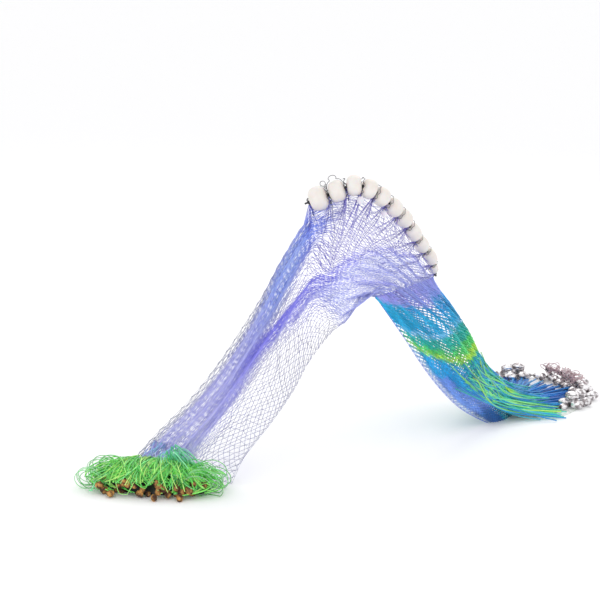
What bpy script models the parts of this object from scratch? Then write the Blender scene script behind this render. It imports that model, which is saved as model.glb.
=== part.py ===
"""Gill net standing as an arch: two webs of netting, their float line and its floats, and both feet.

Metres, +Z up. X runs from the tangled foot to the weighted foot, and the floor is z = 0.
"""

import math
import random

import bmesh
import bpy
import numpy as np
from mathutils import Vector

# Where the middle of the whole net's plan lies, in the sizes below
PLAN_MIDDLE = (-0.0266, 0.0600)

# Netting
WEB_THICK = 0.0022          # bundled twine, measured through the web
TWINE_WIDTH = 0.0034        # the width of one bar between two cut meshes
FLOOR_LIFT = 0.0013         # middle of a web that lies on the floor
SEAM_GAP = 0.0015           # between the last row of one web and the first row of the next

# The lilac web, leg and crest: half rows of meshes along it, half columns across it
LILAC_ROWS = 50
LILAC_COLUMNS = 16
CREST_ROW = 28              # the half row where the float line starts
LILAC_PLEAT = 0.0085        # half height of a gather in the dense bands
LILAC_FOLD = 0.018          # how far the main fold stands out of the web

# Edge of the lilac web on its far side, over the leg: half row, then the point
LEG_FAR_EDGE = (
    # row     x      y      z
    (0, -0.566, 0.158, 0.0013),
    (4, -0.501, 0.144, 0.082),
    (8, -0.437, 0.129, 0.150),
    (12, -0.379, 0.115, 0.222),
    (16, -0.325, 0.101, 0.296),
    (20, -0.273, 0.088, 0.372),
    (24, -0.226, 0.075, 0.452),
)
# Edge of the lilac web on its near side, over the leg and under the crest
NEAR_EDGE = (
    # row     x      y      z
    (0, -0.424, 0.000, 0.0013),
    (4, -0.408, -0.016, 0.052),
    (8, -0.380, -0.027, 0.090),
    (12, -0.346, -0.032, 0.124),
    (16, -0.314, -0.036, 0.159),
    (20, -0.284, -0.040, 0.197),
    (24, -0.259, -0.044, 0.238),
    (28, -0.228, -0.048, 0.274),
    (35, -0.187, -0.052, 0.310),
    (42, -0.142, -0.056, 0.341),
    (50, -0.086, -0.062, 0.364),
)
# The two gathered bands of the lilac web, as shares of its width from the far edge
BANDS = (
    # row  left_from  left_to  right_from  right_to
    (0, 0.02, 0.66, 0.40, 0.66),
    (6, 0.05, 0.55, 0.35, 0.58),
    (12, 0.08, 0.44, 0.30, 0.52),
    (18, 0.10, 0.36, 0.30, 0.52),
    (24, 0.08, 0.28, 0.36, 0.60),
    (28, 0.04, 0.22, 0.44, 0.70),
    (34, 0.00, 0.02, 0.52, 0.90),
    (40, 0.00, 0.01, 0.54, 1.00),
    (50, 0.00, 0.01, 0.30, 1.00),
)

# Floats on the float line: middle, diameter and length along the line
FLOATS = (
    # x       y       z    across  length
    (-0.158, 0.045, 0.571, 0.054, 0.032),
    (-0.129, 0.018, 0.587, 0.048, 0.027),
    (-0.102, -0.006, 0.600, 0.045, 0.024),
    (-0.074, -0.022, 0.592, 0.043, 0.023),
    (-0.045, -0.028, 0.573, 0.042, 0.026),
    (-0.006, -0.024, 0.545, 0.040, 0.036),
    (0.033, -0.014, 0.516, 0.038, 0.038),
    (0.071, -0.002, 0.479, 0.036, 0.040),
    (0.107, 0.010, 0.445, 0.034, 0.038),
    (0.145, 0.022, 0.410, 0.031, 0.038),
    (0.164, 0.030, 0.380, 0.022, 0.020),
)
FLOAT_SIDES = 12
FLOAT_ROUNDING = 0.30       # rounding of the rim, as a share of the length
LINE_RADIUS = 0.0020
BORE_PLAY = 0.0006          # between a line and the bore it runs through
LINE_TAIL = 0.016           # the line's free end past the last lashing
LASHING_RADIUS = 0.0011
LASHING_GAP = 0.0004        # from a lashing's lower end to the netting
LASHING_STANDOFF = 0.006    # from a float's end face to the lashing beside it
EDGE_DROP = 0.004           # from a float's side to the netting that hangs from its lashings

# Two small spindle floats that hang in front of the web, each at the foot of a lashing
SPINDLES = (
    # lashing  across  length  lean along the line  lean away from the web
    (4, 0.014, 0.024, -0.25, 1.10),
    (6, 0.012, 0.034, -0.75, 1.20),
)
SPINDLE_HANG = 0.0022       # from a lashing's middle to the tip of its spindle
SPINDLE_SIDES = 10
LOOP_RADIUS = 0.0009
# A small twine loop that stands between two floats: along the line, then above it
SHORT_LOOP = (
    # along    above
    (-0.0025, 0.0034), (-0.0026, 0.0120), (-0.0029, 0.0190), (-0.0050, 0.0270), (-0.0058, 0.0330),
    (-0.0020, 0.0370), (0.0030, 0.0360), (0.0050, 0.0315), (0.0040, 0.0250), (0.0028, 0.0180),
    (0.0026, 0.0110), (0.0025, 0.0034),
)
# A larger loop that stands over the second float
TALL_LOOP = (
    # along    above
    (-0.0154, 0.0034), (-0.0155, 0.0110), (-0.0152, 0.0190), (-0.0125, 0.0260), (-0.0070, 0.0325),
    (0.0000, 0.0355), (0.0070, 0.0325), (0.0125, 0.0260), (0.0152, 0.0190), (0.0155, 0.0110),
    (0.0154, 0.0034),
)

# The banded web
BANDED_ROWS = 24
BANDED_COLUMNS = 18
BANDED_PLEAT = 0.005
SEAM_SWELL = 0.0005
BANDED_EDGES = (
    # row  far_x  far_y  far_z   near_x  near_y  near_z  swell
    (3, 0.226, 0.044, 0.276, -0.043, -0.061, 0.312, 0.036),
    (6, 0.254, 0.052, 0.231, 0.000, -0.059, 0.259, 0.056),
    (9, 0.280, 0.060, 0.187, 0.041, -0.056, 0.207, 0.064),
    (12, 0.308, 0.070, 0.145, 0.084, -0.052, 0.157, 0.065),
    (15, 0.344, 0.084, 0.107, 0.130, -0.048, 0.110, 0.060),
    (18, 0.392, 0.098, 0.072, 0.182, -0.043, 0.066, 0.058),
    (21, 0.444, 0.112, 0.038, 0.240, -0.034, 0.030, 0.054),
    (24, 0.494, 0.122, 0.0013, 0.298, -0.020, 0.0013, 0.050),
)

# Loose strands at the weighted foot: each strip of roots lies outside the banded web's rim
STRIP_GAP = 0.0006
STRIP_THICK = 0.0030
STRIP_HEIGHT = 0.0040
STRAND_STEPS = 5
FRINGES = (
    # name, first and last column of the rim, strands, width, reach, rise, turn at the first and last
    ("fringe_blue", 0.4, 5.0, 14, 0.0036, 0.125, 0.012, 0.95, 0.25),
    ("fringe_green", 5.8, 12.2, 20, 0.0026, 0.150, 0.020, 0.10, -0.45),
)

# Sinkers on the lead line: the middle of each
LEADS = (
    # x      y
    (0.580, 0.222), (0.614, 0.216), (0.646, 0.201), (0.670, 0.175), (0.681, 0.142), (0.679, 0.107),
    (0.669, 0.073), (0.657, 0.040), (0.641, 0.008), (0.618, -0.020), (0.588, -0.040), (0.554, -0.050),
    (0.519, -0.054),
)
LEAD_ACROSS = 0.016
LEAD_LENGTH = 0.029
LEAD_SIDES = 9
LEAD_LINE_RADIUS = 0.0015
LEAD_FLOOR_HALF = 0.0045    # half a sinker's width at the height of a strand on the floor
LEAD_CLEARANCE = 0.0001     # in plan, from a strand's side to a sinker

# The tangled foot: a low core in front of the lilac web's foot, with strands out of it
TANGLE_ALONG = (0.664, -0.748)   # the foot's direction in plan
TANGLE_HALF_LENGTH = 0.120
TANGLE_SHIFT = -0.045        # of the core along the foot, past the web's far edge
TANGLE_HALF_WIDTH = 0.052
TANGLE_HEIGHT = 0.040
TANGLE_STANDOFF = 0.0006     # from the foot of the web's middle surface to the core
TANGLE_SECTORS = 38
TANGLE_LEVELS = (
    # size  height, as shares of the core's plan and height
    (1.00, 0.00), (1.00, 0.26), (0.90, 0.60), (0.66, 0.86), (0.34, 1.00),
)
TANGLE_STRAND = 0.0028
TANGLE_SEED = 11
TANGLE_STEPS = 5
TANGLE_FIRST_SECTOR = -3      # the first sector that is clear of the web, beside the oval's end
TANGLE_FRONT_SECTORS = 26
TANGLE_ROOTS = (
    # level of the core, first sector, every so many
    (0, 0, 1), (1, 0, 2), (2, 1, 2), (3, 0, 4),
)
TANGLE_TIERS = (
    # reach, lift, sideways bend, share of its length where it settles
    (0.062, 0.003, 0.003, 0.50), (0.094, 0.026, 0.004, 0.72), (0.070, 0.050, 0.005, 1.30),
    (0.030, 0.045, 0.004, 1.60),
)
# Clay sinkers in the tangle: sector of the core each one leans on, and its size
CLAY_SINKERS = (
    # sector  across
    (7, 0.013), (9, 0.014), (10, 0.015), (12, 0.015), (13, 0.014), (15, 0.016), (16, 0.014),
    (18, 0.013),
)
CLAY_GAP = 0.0005


def clear_scene():
    for item in list(bpy.data.objects):
        bpy.data.objects.remove(item, do_unlink=True)
    for group in list(bpy.data.collections):
        bpy.data.collections.remove(group)


def new_collection(name):
    group = bpy.data.collections.new(name)
    bpy.context.scene.collection.children.link(group)
    return group


def principled(name, colour, roughness, metallic=0.0):
    material = bpy.data.materials.new(name)
    material.use_nodes = True
    shader = material.node_tree.nodes["Principled BSDF"]
    shader.inputs["Base Color"].default_value = (*colour, 1.0)
    shader.inputs["Roughness"].default_value = roughness
    shader.inputs["Metallic"].default_value = metallic
    material.diffuse_color = (*colour, 1.0)
    return material


def smooth_table(rows, places):
    """Rows are (place, values...). A cubic through them, with slopes from each row's neighbours."""
    table = np.array(rows, dtype=float)
    knots = table[:, 0]
    values = table[:, 1:]
    slopes = np.gradient(values, knots, axis=0)
    places = np.clip(np.asarray(places, dtype=float), knots[0], knots[-1])
    index = np.clip(np.searchsorted(knots, places, side="right") - 1, 0, len(knots) - 2)
    span = knots[index + 1] - knots[index]
    t = ((places - knots[index]) / span)[..., None]
    span = span[..., None]
    start = values[index] * (2 * t**3 - 3 * t**2 + 1) + slopes[index] * span * (t**3 - 2 * t**2 + t)
    end = values[index + 1] * (3 * t**2 - 2 * t**3) + slopes[index + 1] * span * (t**3 - t**2)
    return start + end


def window(value, low, high, soft):
    """1 between low and high, falling smoothly to 0 over soft on both sides."""
    rise = np.clip((value - low) / soft + 0.5, 0, 1)
    fall = np.clip((high - value) / soft + 0.5, 0, 1)
    return rise * rise * (3 - 2 * rise) * fall * fall * (3 - 2 * fall)


def unit(vector):
    return vector / np.linalg.norm(vector, axis=-1, keepdims=True)


# ---------------------------------------------------------------- float line

def float_frames():
    """Each float's middle and the direction of the line through it."""
    middles = np.array([row[:3] for row in FLOATS])
    return middles, unit(np.gradient(middles, axis=0))


def lashing_places():
    """Twelve places on the line: before, between and after the floats, with the line's direction."""
    middles, along = float_frames()
    half = np.array([row[4] for row in FLOATS])[:, None] / 2
    starts = middles - along * half
    ends = middles + along * half
    first = starts[:1] - along[:1] * LASHING_STANDOFF
    last = ends[-1:] + along[-1:] * LASHING_STANDOFF
    between = (ends[:-1] + starts[1:]) / 2
    heading = np.vstack([along[:1], unit(along[1:] + along[:-1]), along[-1:]])
    return np.vstack([first, between, last]), heading


def crest_drops():
    """How far below the line the netting's edge hangs at each lashing, and in which direction."""
    places, heading = lashing_places()
    rows = np.linspace(CREST_ROW, LILAC_ROWS, len(places))
    near = smooth_table(NEAR_EDGE, rows)
    toward = near - places
    across = unit(toward - heading * np.sum(toward * heading, axis=1, keepdims=True))
    radii = np.array([row[3] for row in FLOATS]) / 2
    reach = np.maximum(np.r_[radii[:1], radii], np.r_[radii, radii[-1:]]) + EDGE_DROP
    return across, reach[:, None]


def lilac_far_edge():
    places, _ = lashing_places()
    across, reach = crest_drops()
    rows = np.linspace(CREST_ROW, LILAC_ROWS, len(places))
    crest = np.column_stack([rows, places + across * reach])
    return np.vstack([np.array(LEG_FAR_EDGE), crest])


# ---------------------------------------------------------------- webs

def lilac_base(row, share):
    far = smooth_table(lilac_far_edge(), row)
    near = smooth_table(NEAR_EDGE, row)
    return far + (near - far) * share[..., None]


def facing(base, row, share, last_row, row_step=0.5, share_step=0.02):
    """Unit normals of a base surface, worked out from small steps along and across it."""
    along = base(np.minimum(row + row_step, last_row), share) - base(np.maximum(row - row_step, 0), share)
    across = base(row, share + share_step) - base(row, share - share_step)
    return unit(np.cross(across, along))


def lilac_bands(row, share):
    left_from, left_to, right_from, right_to = np.moveaxis(smooth_table(BANDS, row), -1, 0)
    left = window(share, left_from, left_to, 0.06)
    right = window(share, right_from, right_to, 0.06)
    return left, right


def lilac_surface(row, column):
    """The leaning web, its main fold standing out and its dense bands pleated column by column."""
    share = column / LILAC_COLUMNS
    left, right = lilac_bands(row, share)
    dense = np.maximum(left, right)
    ends = window(row, 1.5, LILAC_ROWS - 1.5, 3.0)
    sides = window(share, 0.04, 0.96, 0.10)
    pleat = LILAC_PLEAT * dense * (1 - 2 * (np.round(column) % 2)) * ends * sides
    fold = LILAC_FOLD * right * ends
    hollow = 0.010 * np.sin(math.pi * share) * ends
    lift = pleat + fold - hollow
    return lilac_base(row, share) + facing(lilac_base, row, share, LILAC_ROWS) * lift[..., None]


def banded_edges():
    """The table of edges, with a first row that lies just under the lilac web's last row."""
    far = lilac_far_edge()[-1][1:]
    near = np.array(NEAR_EDGE[-1][1:])
    drop = np.array((0.0, 0.0, -SEAM_GAP))
    first = np.concatenate([[0.0], far + drop, near + drop, [SEAM_SWELL]])
    return np.vstack([first, np.array(BANDED_EDGES)])


def banded_base(row, share):
    table = banded_edges()
    edges = smooth_table(table, row)
    far = edges[..., 0:3]
    near = edges[..., 3:6]
    swell = edges[..., 6:7]
    chord = unit(near - far)
    after = smooth_table(table, np.minimum(row + 0.5, BANDED_ROWS))
    before = smooth_table(table, np.maximum(row - 0.5, 0))
    step = after - before
    down = step[..., 0:3] + step[..., 3:6]
    outward = unit(np.cross(chord, down))
    outward[..., 2] *= window(row, -5.0, BANDED_ROWS - 2.0, 4.0)
    outward = unit(outward)
    turn = math.pi * share[..., None]
    return (far + near) / 2 - (near - far) / 2 * np.cos(turn) + outward * swell * np.sin(turn)


def banded_surface(row, column):
    share = column / BANDED_COLUMNS
    ends = window(row, 1.5, BANDED_ROWS - 2.5, 3.0)
    sides = window(share, 0.04, 0.96, 0.10)
    pleat = BANDED_PLEAT * (1 - 2 * (np.round(column) % 2)) * ends * sides
    point = banded_base(row, share) + facing(banded_base, row, share, BANDED_ROWS) * pleat[..., None]
    point[..., 2] = np.maximum(point[..., 2], FLOOR_LIFT)
    return point


def lilac_open(row, share):
    """1 where the web is spread so far that its meshes stand open."""
    left, right = lilac_bands(row, share)
    leg_panel = (share > 0.55) & (row < 30) & (row > 3)
    fan = (row > 20) & (share < 0.56)
    outer_strip = (share < 0.10) & (row > 8) & (row < 26)
    return (np.maximum(left, right) < 0.35) & (leg_panel | fan | outer_strip)


def lilac_pleated(row, share):
    left, right = lilac_bands(row, share)
    return np.maximum(left, right) > 0.2


def banded_open(row, share):
    near_side = (share > 0.86) & (row > 8) & (row < 20)
    top = (row > 6) & (row < 10) & (share > 0.3) & (share < 0.75)
    return near_side | top


def mesh_lattice(name, rows, columns, surface, is_open, is_pleated, free_rows):
    """Netting: staggered knots joined to diamonds, cut through where the meshes stand open.

    free_rows: the far edge has no border between these half rows, and hangs by its points.
    """
    build = bmesh.new()
    row_grid, column_grid = np.meshgrid(np.arange(rows + 1), np.arange(columns + 1), indexing="ij")
    places = surface(row_grid.astype(float), column_grid.astype(float))
    knots = {}

    def knot(row, column):
        if (row, column) not in knots:
            knots[row, column] = build.verts.new(places[row, column])
        return knots[row, column]

    cut = []
    centres = {}
    for row in range(rows + 1):
        for column in range(columns + 1):
            if (row + column) % 2 == 0:
                continue
            ring = [(row - 1, column), (row, column + 1), (row + 1, column), (row, column - 1)]
            ring = [(r, c) for r, c in ring if 0 <= r <= rows and 0 <= c <= columns]
            if len(ring) == 3 and column == 0 and free_rows[0] < row < free_rows[1]:
                continue
            if len(ring) < 3:
                continue
            face = build.faces.new([knot(r, c) for r, c in ring])
            if len(ring) == 4 and is_open(np.array(float(row)), np.array(column / columns)):
                cut.append(face)
            elif len(ring) == 4 and is_pleated(np.array(float(row)), np.array(column / columns)):
                centres[face] = places[row, column]
    solid = list(centres)
    targets = [centres[face] for face in solid]
    poked = bmesh.ops.poke(build, faces=solid, center_mode="MEAN")
    for vert, target in zip(poked["verts"], targets):
        vert.co = target
    bmesh.ops.inset_individual(build, faces=cut, thickness=TWINE_WIDTH / 2, use_even_offset=True)
    bmesh.ops.delete(build, geom=cut, context="FACES_ONLY")
    bmesh.ops.recalc_face_normals(build, faces=build.faces)
    mesh = bpy.data.meshes.new(name)
    build.to_mesh(mesh)
    build.free()
    return mesh


def add_netting(group, root, name, mesh, material):
    web = bpy.data.objects.new(name, mesh)
    web.data.materials.append(material)
    group.objects.link(web)
    web.parent = root
    wall = web.modifiers.new("Web thickness", "SOLIDIFY")
    wall.thickness = WEB_THICK
    wall.offset = 0.0
    return web


# ---------------------------------------------------------------- turned and tubular pieces

def place(group, root, thing, material, location=(0.0, 0.0, 0.0), direction=None):
    thing.data.materials.append(material)
    group.objects.link(thing)
    thing.parent = root
    thing.location = location
    if direction is not None:
        thing.rotation_euler = Vector(direction).to_track_quat("Z", "Y").to_euler()
    return thing


def turned(name, profile, sides, closed):
    """A profile of (radius, height) points, turned about Z. closed: the profile is a ring."""
    count = len(profile)
    edges = [(k, (k + 1) % count) for k in range(count if closed else count - 1)]
    mesh = bpy.data.meshes.new(name)
    mesh.from_pydata([(radius, 0.0, height) for radius, height in profile], edges, [])
    thing = bpy.data.objects.new(name, mesh)
    turn = thing.modifiers.new("Turn", "SCREW")
    turn.axis = "Z"
    turn.steps = sides
    turn.render_steps = sides
    turn.use_merge_vertices = True
    turn.merge_threshold = 0.0001
    turn.use_smooth_shade = True
    return thing


def drum_profile(across, length, bore, rounding, rim_steps):
    """A drum with a bore: a round-rimmed side from top to bottom, then the bore from bottom to top."""
    outer = across / 2
    half = length / 2
    curve = rounding * length
    points = []
    for corner, first in ((1, 90), (-1, 0)):
        for step in range(rim_steps + 1):
            angle = math.radians(first - 90 / rim_steps * step)
            points.append((outer - curve * (1 - math.cos(angle)),
                           corner * (half - curve) + curve * math.sin(angle)))
    return points + [(bore, -half), (bore, half)]


def spindle_profile(across, length, steps=5):
    turn = [math.pi * k / steps for k in range(steps + 1)]
    return [(across / 2 * math.sin(t) ** 0.8 if 0 < k < steps else 0.0, length / 2 * math.cos(t))
            for k, t in enumerate(turn)]


def tube(name, points, radius, resolution):
    curve = bpy.data.curves.new(name, "CURVE")
    curve.dimensions = "3D"
    curve.bevel_depth = radius
    curve.bevel_resolution = resolution
    curve.use_fill_caps = True
    line = curve.splines.new("POLY")
    line.points.add(len(points) - 1)
    for slot, point in zip(line.points, points):
        slot.co = (*point, 1.0)
    return bpy.data.objects.new(name, curve)


def threaded_route(middles, along, lengths, tail):
    """A line that runs straight through each piece and bends only between them."""
    half = np.asarray(lengths)[:, None] / 2 + 0.0010
    stops = np.stack([middles - along * half, middles + along * half], axis=1).reshape(-1, 3)
    first = stops[0] - along[0] * tail
    last = stops[-1] + along[-1] * tail
    return np.vstack([first, stops, last])


def add_float_line(group, root, rope, foam):
    middles, along = float_frames()
    route = threaded_route(middles, along, [row[4] for row in FLOATS], LINE_TAIL)
    place(group, root, tube("float_line", route, LINE_RADIUS, 2), rope)
    for number, (row, direction) in enumerate(zip(FLOATS, along), start=1):
        across, length = row[3:5]
        profile = drum_profile(across, length, LINE_RADIUS + BORE_PLAY, FLOAT_ROUNDING, 2)
        place(group, root, turned(f"float_{number:02d}", profile, FLOAT_SIDES, True), foam,
              row[:3], direction)


def add_lashings(group, root, twine):
    """Hooks of twine: each rises from the netting's edge and goes round the float line."""
    places, heading = lashing_places()
    across, reach = crest_drops()
    wrap = LINE_RADIUS + BORE_PLAY + LASHING_RADIUS
    side = np.cross(heading, across)
    for number in range(len(places)):
        tail = reach[number] - LASHING_GAP
        route = [places[number] + across[number] * tail]
        route.append(places[number] + across[number] * tail * 0.5 + side[number] * wrap * 0.75)
        for angle in np.radians((0, 45, 90, 135, 180, 225)):
            swing = side[number] * math.cos(angle) - across[number] * math.sin(angle)
            route.append(places[number] + swing * wrap)
        place(group, root, tube(f"lashing_{number + 1:02d}", route, LASHING_RADIUS, 0), twine)


def add_loops(group, root, twine):
    places, heading = lashing_places()
    across, _ = crest_drops()
    middles, along = float_frames()
    up = -across[1]
    short = [places[1] + heading[1] * x + up * z for x, z in SHORT_LOOP]
    place(group, root, tube("loop_short", short, LOOP_RADIUS, 0), twine)
    up = unit(up - along[1] * np.dot(up, along[1]))
    tall = [middles[1] + along[1] * x + up * z for x, z in TALL_LOOP]
    place(group, root, tube("loop_tall", tall, LOOP_RADIUS, 0), twine)


def add_spindles(group, root, foam):
    places, heading = lashing_places()
    across, reach = crest_drops()
    for number, (lashing, width, length, lean, away) in enumerate(SPINDLES, start=1):
        k = lashing - 1
        front = np.cross(across[k], heading[k])
        tip = places[k] + across[k] * (reach[k] - WEB_THICK) + front * SPINDLE_HANG
        direction = unit(across[k] + heading[k] * lean + front * away)
        spindle = turned(f"spindle_float_{number}", spindle_profile(width, length), SPINDLE_SIDES, False)
        place(group, root, spindle, foam, tip + direction * length / 2, direction)


def add_leads(group, root, rope, lead):
    middles = np.array([(x, y, LEAD_ACROSS / 2) for x, y in LEADS])
    along = unit(np.gradient(middles, axis=0))
    route = threaded_route(middles, along, [LEAD_LENGTH] * len(LEADS), LINE_TAIL)
    place(group, root, tube("lead_line", route, LEAD_LINE_RADIUS, 1), rope)
    profile = drum_profile(LEAD_ACROSS, LEAD_LENGTH, LEAD_LINE_RADIUS + BORE_PLAY, 0.18, 1)
    for number, (middle, direction) in enumerate(zip(middles, along), start=1):
        place(group, root, turned(f"lead_{number:02d}", profile, LEAD_SIDES, True), lead,
              middle, direction)


# ---------------------------------------------------------------- strands

def halve(build, face):
    """Split a four-sided face, and give one three-sided half."""
    corners = face.verts
    half, _ = bmesh.utils.face_split(face, corners[0], corners[2])
    return half


def grow_strand(build, face, stops, width):
    """Extrude a three-sided face along a run of places, with a flat side down at every step."""
    stops = [Vector(stop) for stop in stops]
    radius = width / 1.5
    for index in range(1, len(stops)):
        before = stops[index - 1]
        after = stops[min(index + 1, len(stops) - 1)]
        way = (after - before).normalized()
        flat = Vector((-way.y, way.x, 0.0)).normalized()
        rise = way.cross(flat)
        face = bmesh.ops.extrude_discrete_faces(build, faces=[face])["faces"][0]
        old = face.calc_center_median()
        ring = list(face.verts)
        turns = [math.radians(90 + 120 * k) for k in range(3)]
        spots = [(flat * math.cos(t) + rise * math.sin(t)) * radius for t in turns]
        orders = [[(shift + order * k) % 3 for k in range(3)] for order in (1, -1) for shift in range(3)]
        best = min(orders, key=lambda o: sum((spots[k] - v.co + old).length for k, v in zip(o, ring)))
        for k, vert in zip(best, ring):
            vert.co = stops[index] + spots[k]


def rim_frame(column):
    """A place on the banded web's last row and the level direction out of the tube there."""
    here = banded_surface(np.array(float(BANDED_ROWS)), np.array(column))
    low = 2 * math.floor(column / 2)
    ends = [banded_surface(np.array(float(BANDED_ROWS)), np.array(float(c))) for c in (low, low + 2)]
    here = ends[0] + (ends[1] - ends[0]) * (column - low) / 2
    chord = ends[1] - ends[0]
    out = unit(np.array((-chord[1], chord[0], 0.0)))
    middle = banded_surface(np.array(float(BANDED_ROWS)), np.array(BANDED_COLUMNS / 2))
    ends_middle = (np.array(banded_edges()[-1][1:4]) + np.array(banded_edges()[-1][4:7])) / 2
    if np.dot(out, middle - ends_middle) < 0:
        out = -out
    return here, out


def fringe_stops(start, out, aim, length, hump, width):
    """Places along a strand: out of its root, over a low hump, then level on the floor."""
    stops = []
    for step in range(STRAND_STEPS + 1):
        t = step / STRAND_STEPS
        lean = min(1.0, 2.2 * t) / 2
        point = start + (out * (1 - lean) + aim * lean) * length * t
        if step:
            point[2] = width / 3 + hump * math.sin(math.pi * min(1.0, t / 0.72)) ** 2
        stops.append(point)
    return stops


def near_a_lead(stops, width):
    """True where a strand comes too close, in plan, to a sinker's footprint."""
    stops = np.array(stops)
    shares = np.linspace(0, 1, 5)[:, None, None]
    points = (stops[:-1] * (1 - shares) + stops[1:] * shares).reshape(-1, 3)
    middles = np.array(LEADS)
    along = unit(np.gradient(middles, axis=0))
    offset = points[:, None, :2] - middles[None]
    past_end = np.abs(np.sum(offset * along, axis=2)) - LEAD_LENGTH / 2
    beside = np.abs(offset[..., 0] * along[:, 1] - offset[..., 1] * along[:, 0])
    half = np.where(points[:, 2] < width, LEAD_FLOOR_HALF, LEAD_ACROSS / 2)
    past_side = beside - half[:, None]
    past = np.hypot(np.maximum(past_end, 0), np.maximum(past_side, 0))
    return past.min() < width / 1.5 + LEAD_CLEARANCE


def add_fringe(group, root, row, material):
    """A strip of roots that follows the rim, with one strand grown out of every other face."""
    name, first, last, strands, width, reach, rise, turn_first, turn_last = row
    columns = np.linspace(first, last, 2 * strands + 1)
    inner_gap = WEB_THICK / 2 + STRIP_GAP
    build = bmesh.new()
    rings = []
    for column in columns:
        here, out = rim_frame(column)
        near = here[:2] + out[:2] * inner_gap
        off = here[:2] + out[:2] * (inner_gap + STRIP_THICK)
        rings.append([build.verts.new((*near, 0.0)), build.verts.new((*near, STRIP_HEIGHT)),
                      build.verts.new((*off, STRIP_HEIGHT)), build.verts.new((*off, 0.0))])
    roots = []
    for index in range(len(rings) - 1):
        a, b = rings[index], rings[index + 1]
        for k in range(4):
            face = build.faces.new((a[k], a[(k + 1) % 4], b[(k + 1) % 4], b[k]))
            if k == 2 and index % 2 == 1:
                roots.append((index, face))
    build.faces.new(rings[0][::-1])
    build.faces.new(rings[-1])
    chance = random.Random(len(name))
    for index, face in roots:
        share = index / (2 * strands)
        here, out = rim_frame((columns[index] + columns[index + 1]) / 2)
        way = math.radians(90) * (turn_first + (turn_last - turn_first) * share)
        aim = np.array((math.cos(way), math.sin(way), 0.0))
        start = here + out * (inner_gap + STRIP_THICK)
        start[2] = STRIP_HEIGHT / 2
        length = reach * chance.uniform(0.82, 1.0)
        hump = rise * chance.uniform(0.6, 1.0)
        stops = fringe_stops(start, out, aim, length, hump, width)
        while near_a_lead(stops, width) and length > reach / 5:
            length *= 0.995
            stops = fringe_stops(start, out, aim, length, hump, width)
        grow_strand(build, halve(build, face), stops, width)
    bmesh.ops.recalc_face_normals(build, faces=build.faces)
    mesh = bpy.data.meshes.new(name)
    build.to_mesh(mesh)
    build.free()
    return place(group, root, bpy.data.objects.new(name, mesh), material)


# ---------------------------------------------------------------- tangled foot

def tangle_axes():
    """Middle of the core, the way along the web's foot, and the way out in front of it."""
    along = unit(np.array((*TANGLE_ALONG, 0.0)))
    front = np.array((along[1], -along[0], 0.0))
    far = np.array(LEG_FAR_EDGE[0][1:])
    near = np.array(NEAR_EDGE[0][1:])
    foot = (far + near) / 2
    foot[2] = 0.0
    middle = foot + along * TANGLE_SHIFT + front * (TANGLE_STANDOFF + TANGLE_HALF_WIDTH)
    return middle, along, front


def core_ring(size, level, sectors=TANGLE_SECTORS):
    """One level ring of the core: an oval, flat where it faces the web, lumpy elsewhere."""
    middle, along, front = tangle_axes()
    turn = np.arange(sectors) / sectors * 2 * math.pi
    above = max(level - TANGLE_LEVELS[1][1], 0)
    lumps = 1 + 0.04 * np.sin(5 * turn + 6 * above) + 0.02 * np.sin(11 * turn)
    x = TANGLE_HALF_LENGTH * size * lumps * np.cos(turn)
    y = TANGLE_HALF_WIDTH * size * lumps * np.sin(turn)
    y = np.maximum(y, -TANGLE_HALF_WIDTH)
    ring = middle + x[:, None] * along + y[:, None] * front
    ring[:, 2] = TANGLE_HEIGHT * level
    return ring


def tangle_stops(root, away, tier, chance):
    """Places along a strand: out of the core, up and over, then level on the floor or curled in the air."""
    side = np.array((-away[1], away[0], 0.0))
    reach, lift, bend, settle = TANGLE_TIERS[tier]
    reach *= chance.uniform(0.85, 1.0)
    lift *= chance.uniform(0.75, 1.0)
    stops = []
    for step in range(TANGLE_STEPS + 1):
        t = step / TANGLE_STEPS
        level = root[2] * max(0.0, 1 - t / settle) ** 0.7 + lift * math.sin(math.pi * min(1.0, t / settle))
        sway = bend * math.sin(2.2 * math.pi * t) * t
        point = root + away * reach * t + side * sway
        point[2] = max(level, TANGLE_STRAND / 3)
        stops.append(point)
    return stops


def add_tangle(group, root, material):
    middle, along, front = tangle_axes()
    build = bmesh.new()
    rings = [[build.verts.new(p) for p in core_ring(size, level)] for size, level in TANGLE_LEVELS]
    count = TANGLE_SECTORS
    walls = {}
    for level in range(len(rings) - 1):
        for k in range(count):
            n = (k + 1) % count
            walls[level, k] = build.faces.new((rings[level][k], rings[level][n],
                                               rings[level + 1][n], rings[level + 1][k]))
    build.faces.new(rings[0][::-1])
    build.faces.new(rings[-1])
    chance = random.Random(TANGLE_SEED)
    taken = {row[0] for row in CLAY_SINKERS}
    for tier, (level, first, step) in enumerate(TANGLE_ROOTS):
        for k in range(first, TANGLE_FRONT_SECTORS, step):
            sector = (k + TANGLE_FIRST_SECTOR) % count
            if tier == 0 and k in taken:
                continue
            face = walls[level, sector]
            centre = np.array(face.calc_center_median())
            away = centre - middle
            away[2] = 0.0
            stretch = np.array((np.dot(away, along) / TANGLE_HALF_LENGTH ** 1.3,
                                np.dot(away, front) / TANGLE_HALF_WIDTH ** 1.3))
            away = unit(along * stretch[0] + front * stretch[1])
            size = math.sqrt(face.calc_area())
            bmesh.ops.inset_individual(build, faces=[face], thickness=size * 0.26, depth=0.0)
            stops = tangle_stops(centre, away, tier, chance)
            grow_strand(build, halve(build, face), stops, TANGLE_STRAND)
    bmesh.ops.recalc_face_normals(build, faces=build.faces)
    mesh = bpy.data.meshes.new("tangle_green")
    build.to_mesh(mesh)
    build.free()
    return place(group, root, bpy.data.objects.new("tangle_green", mesh), material)


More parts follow.
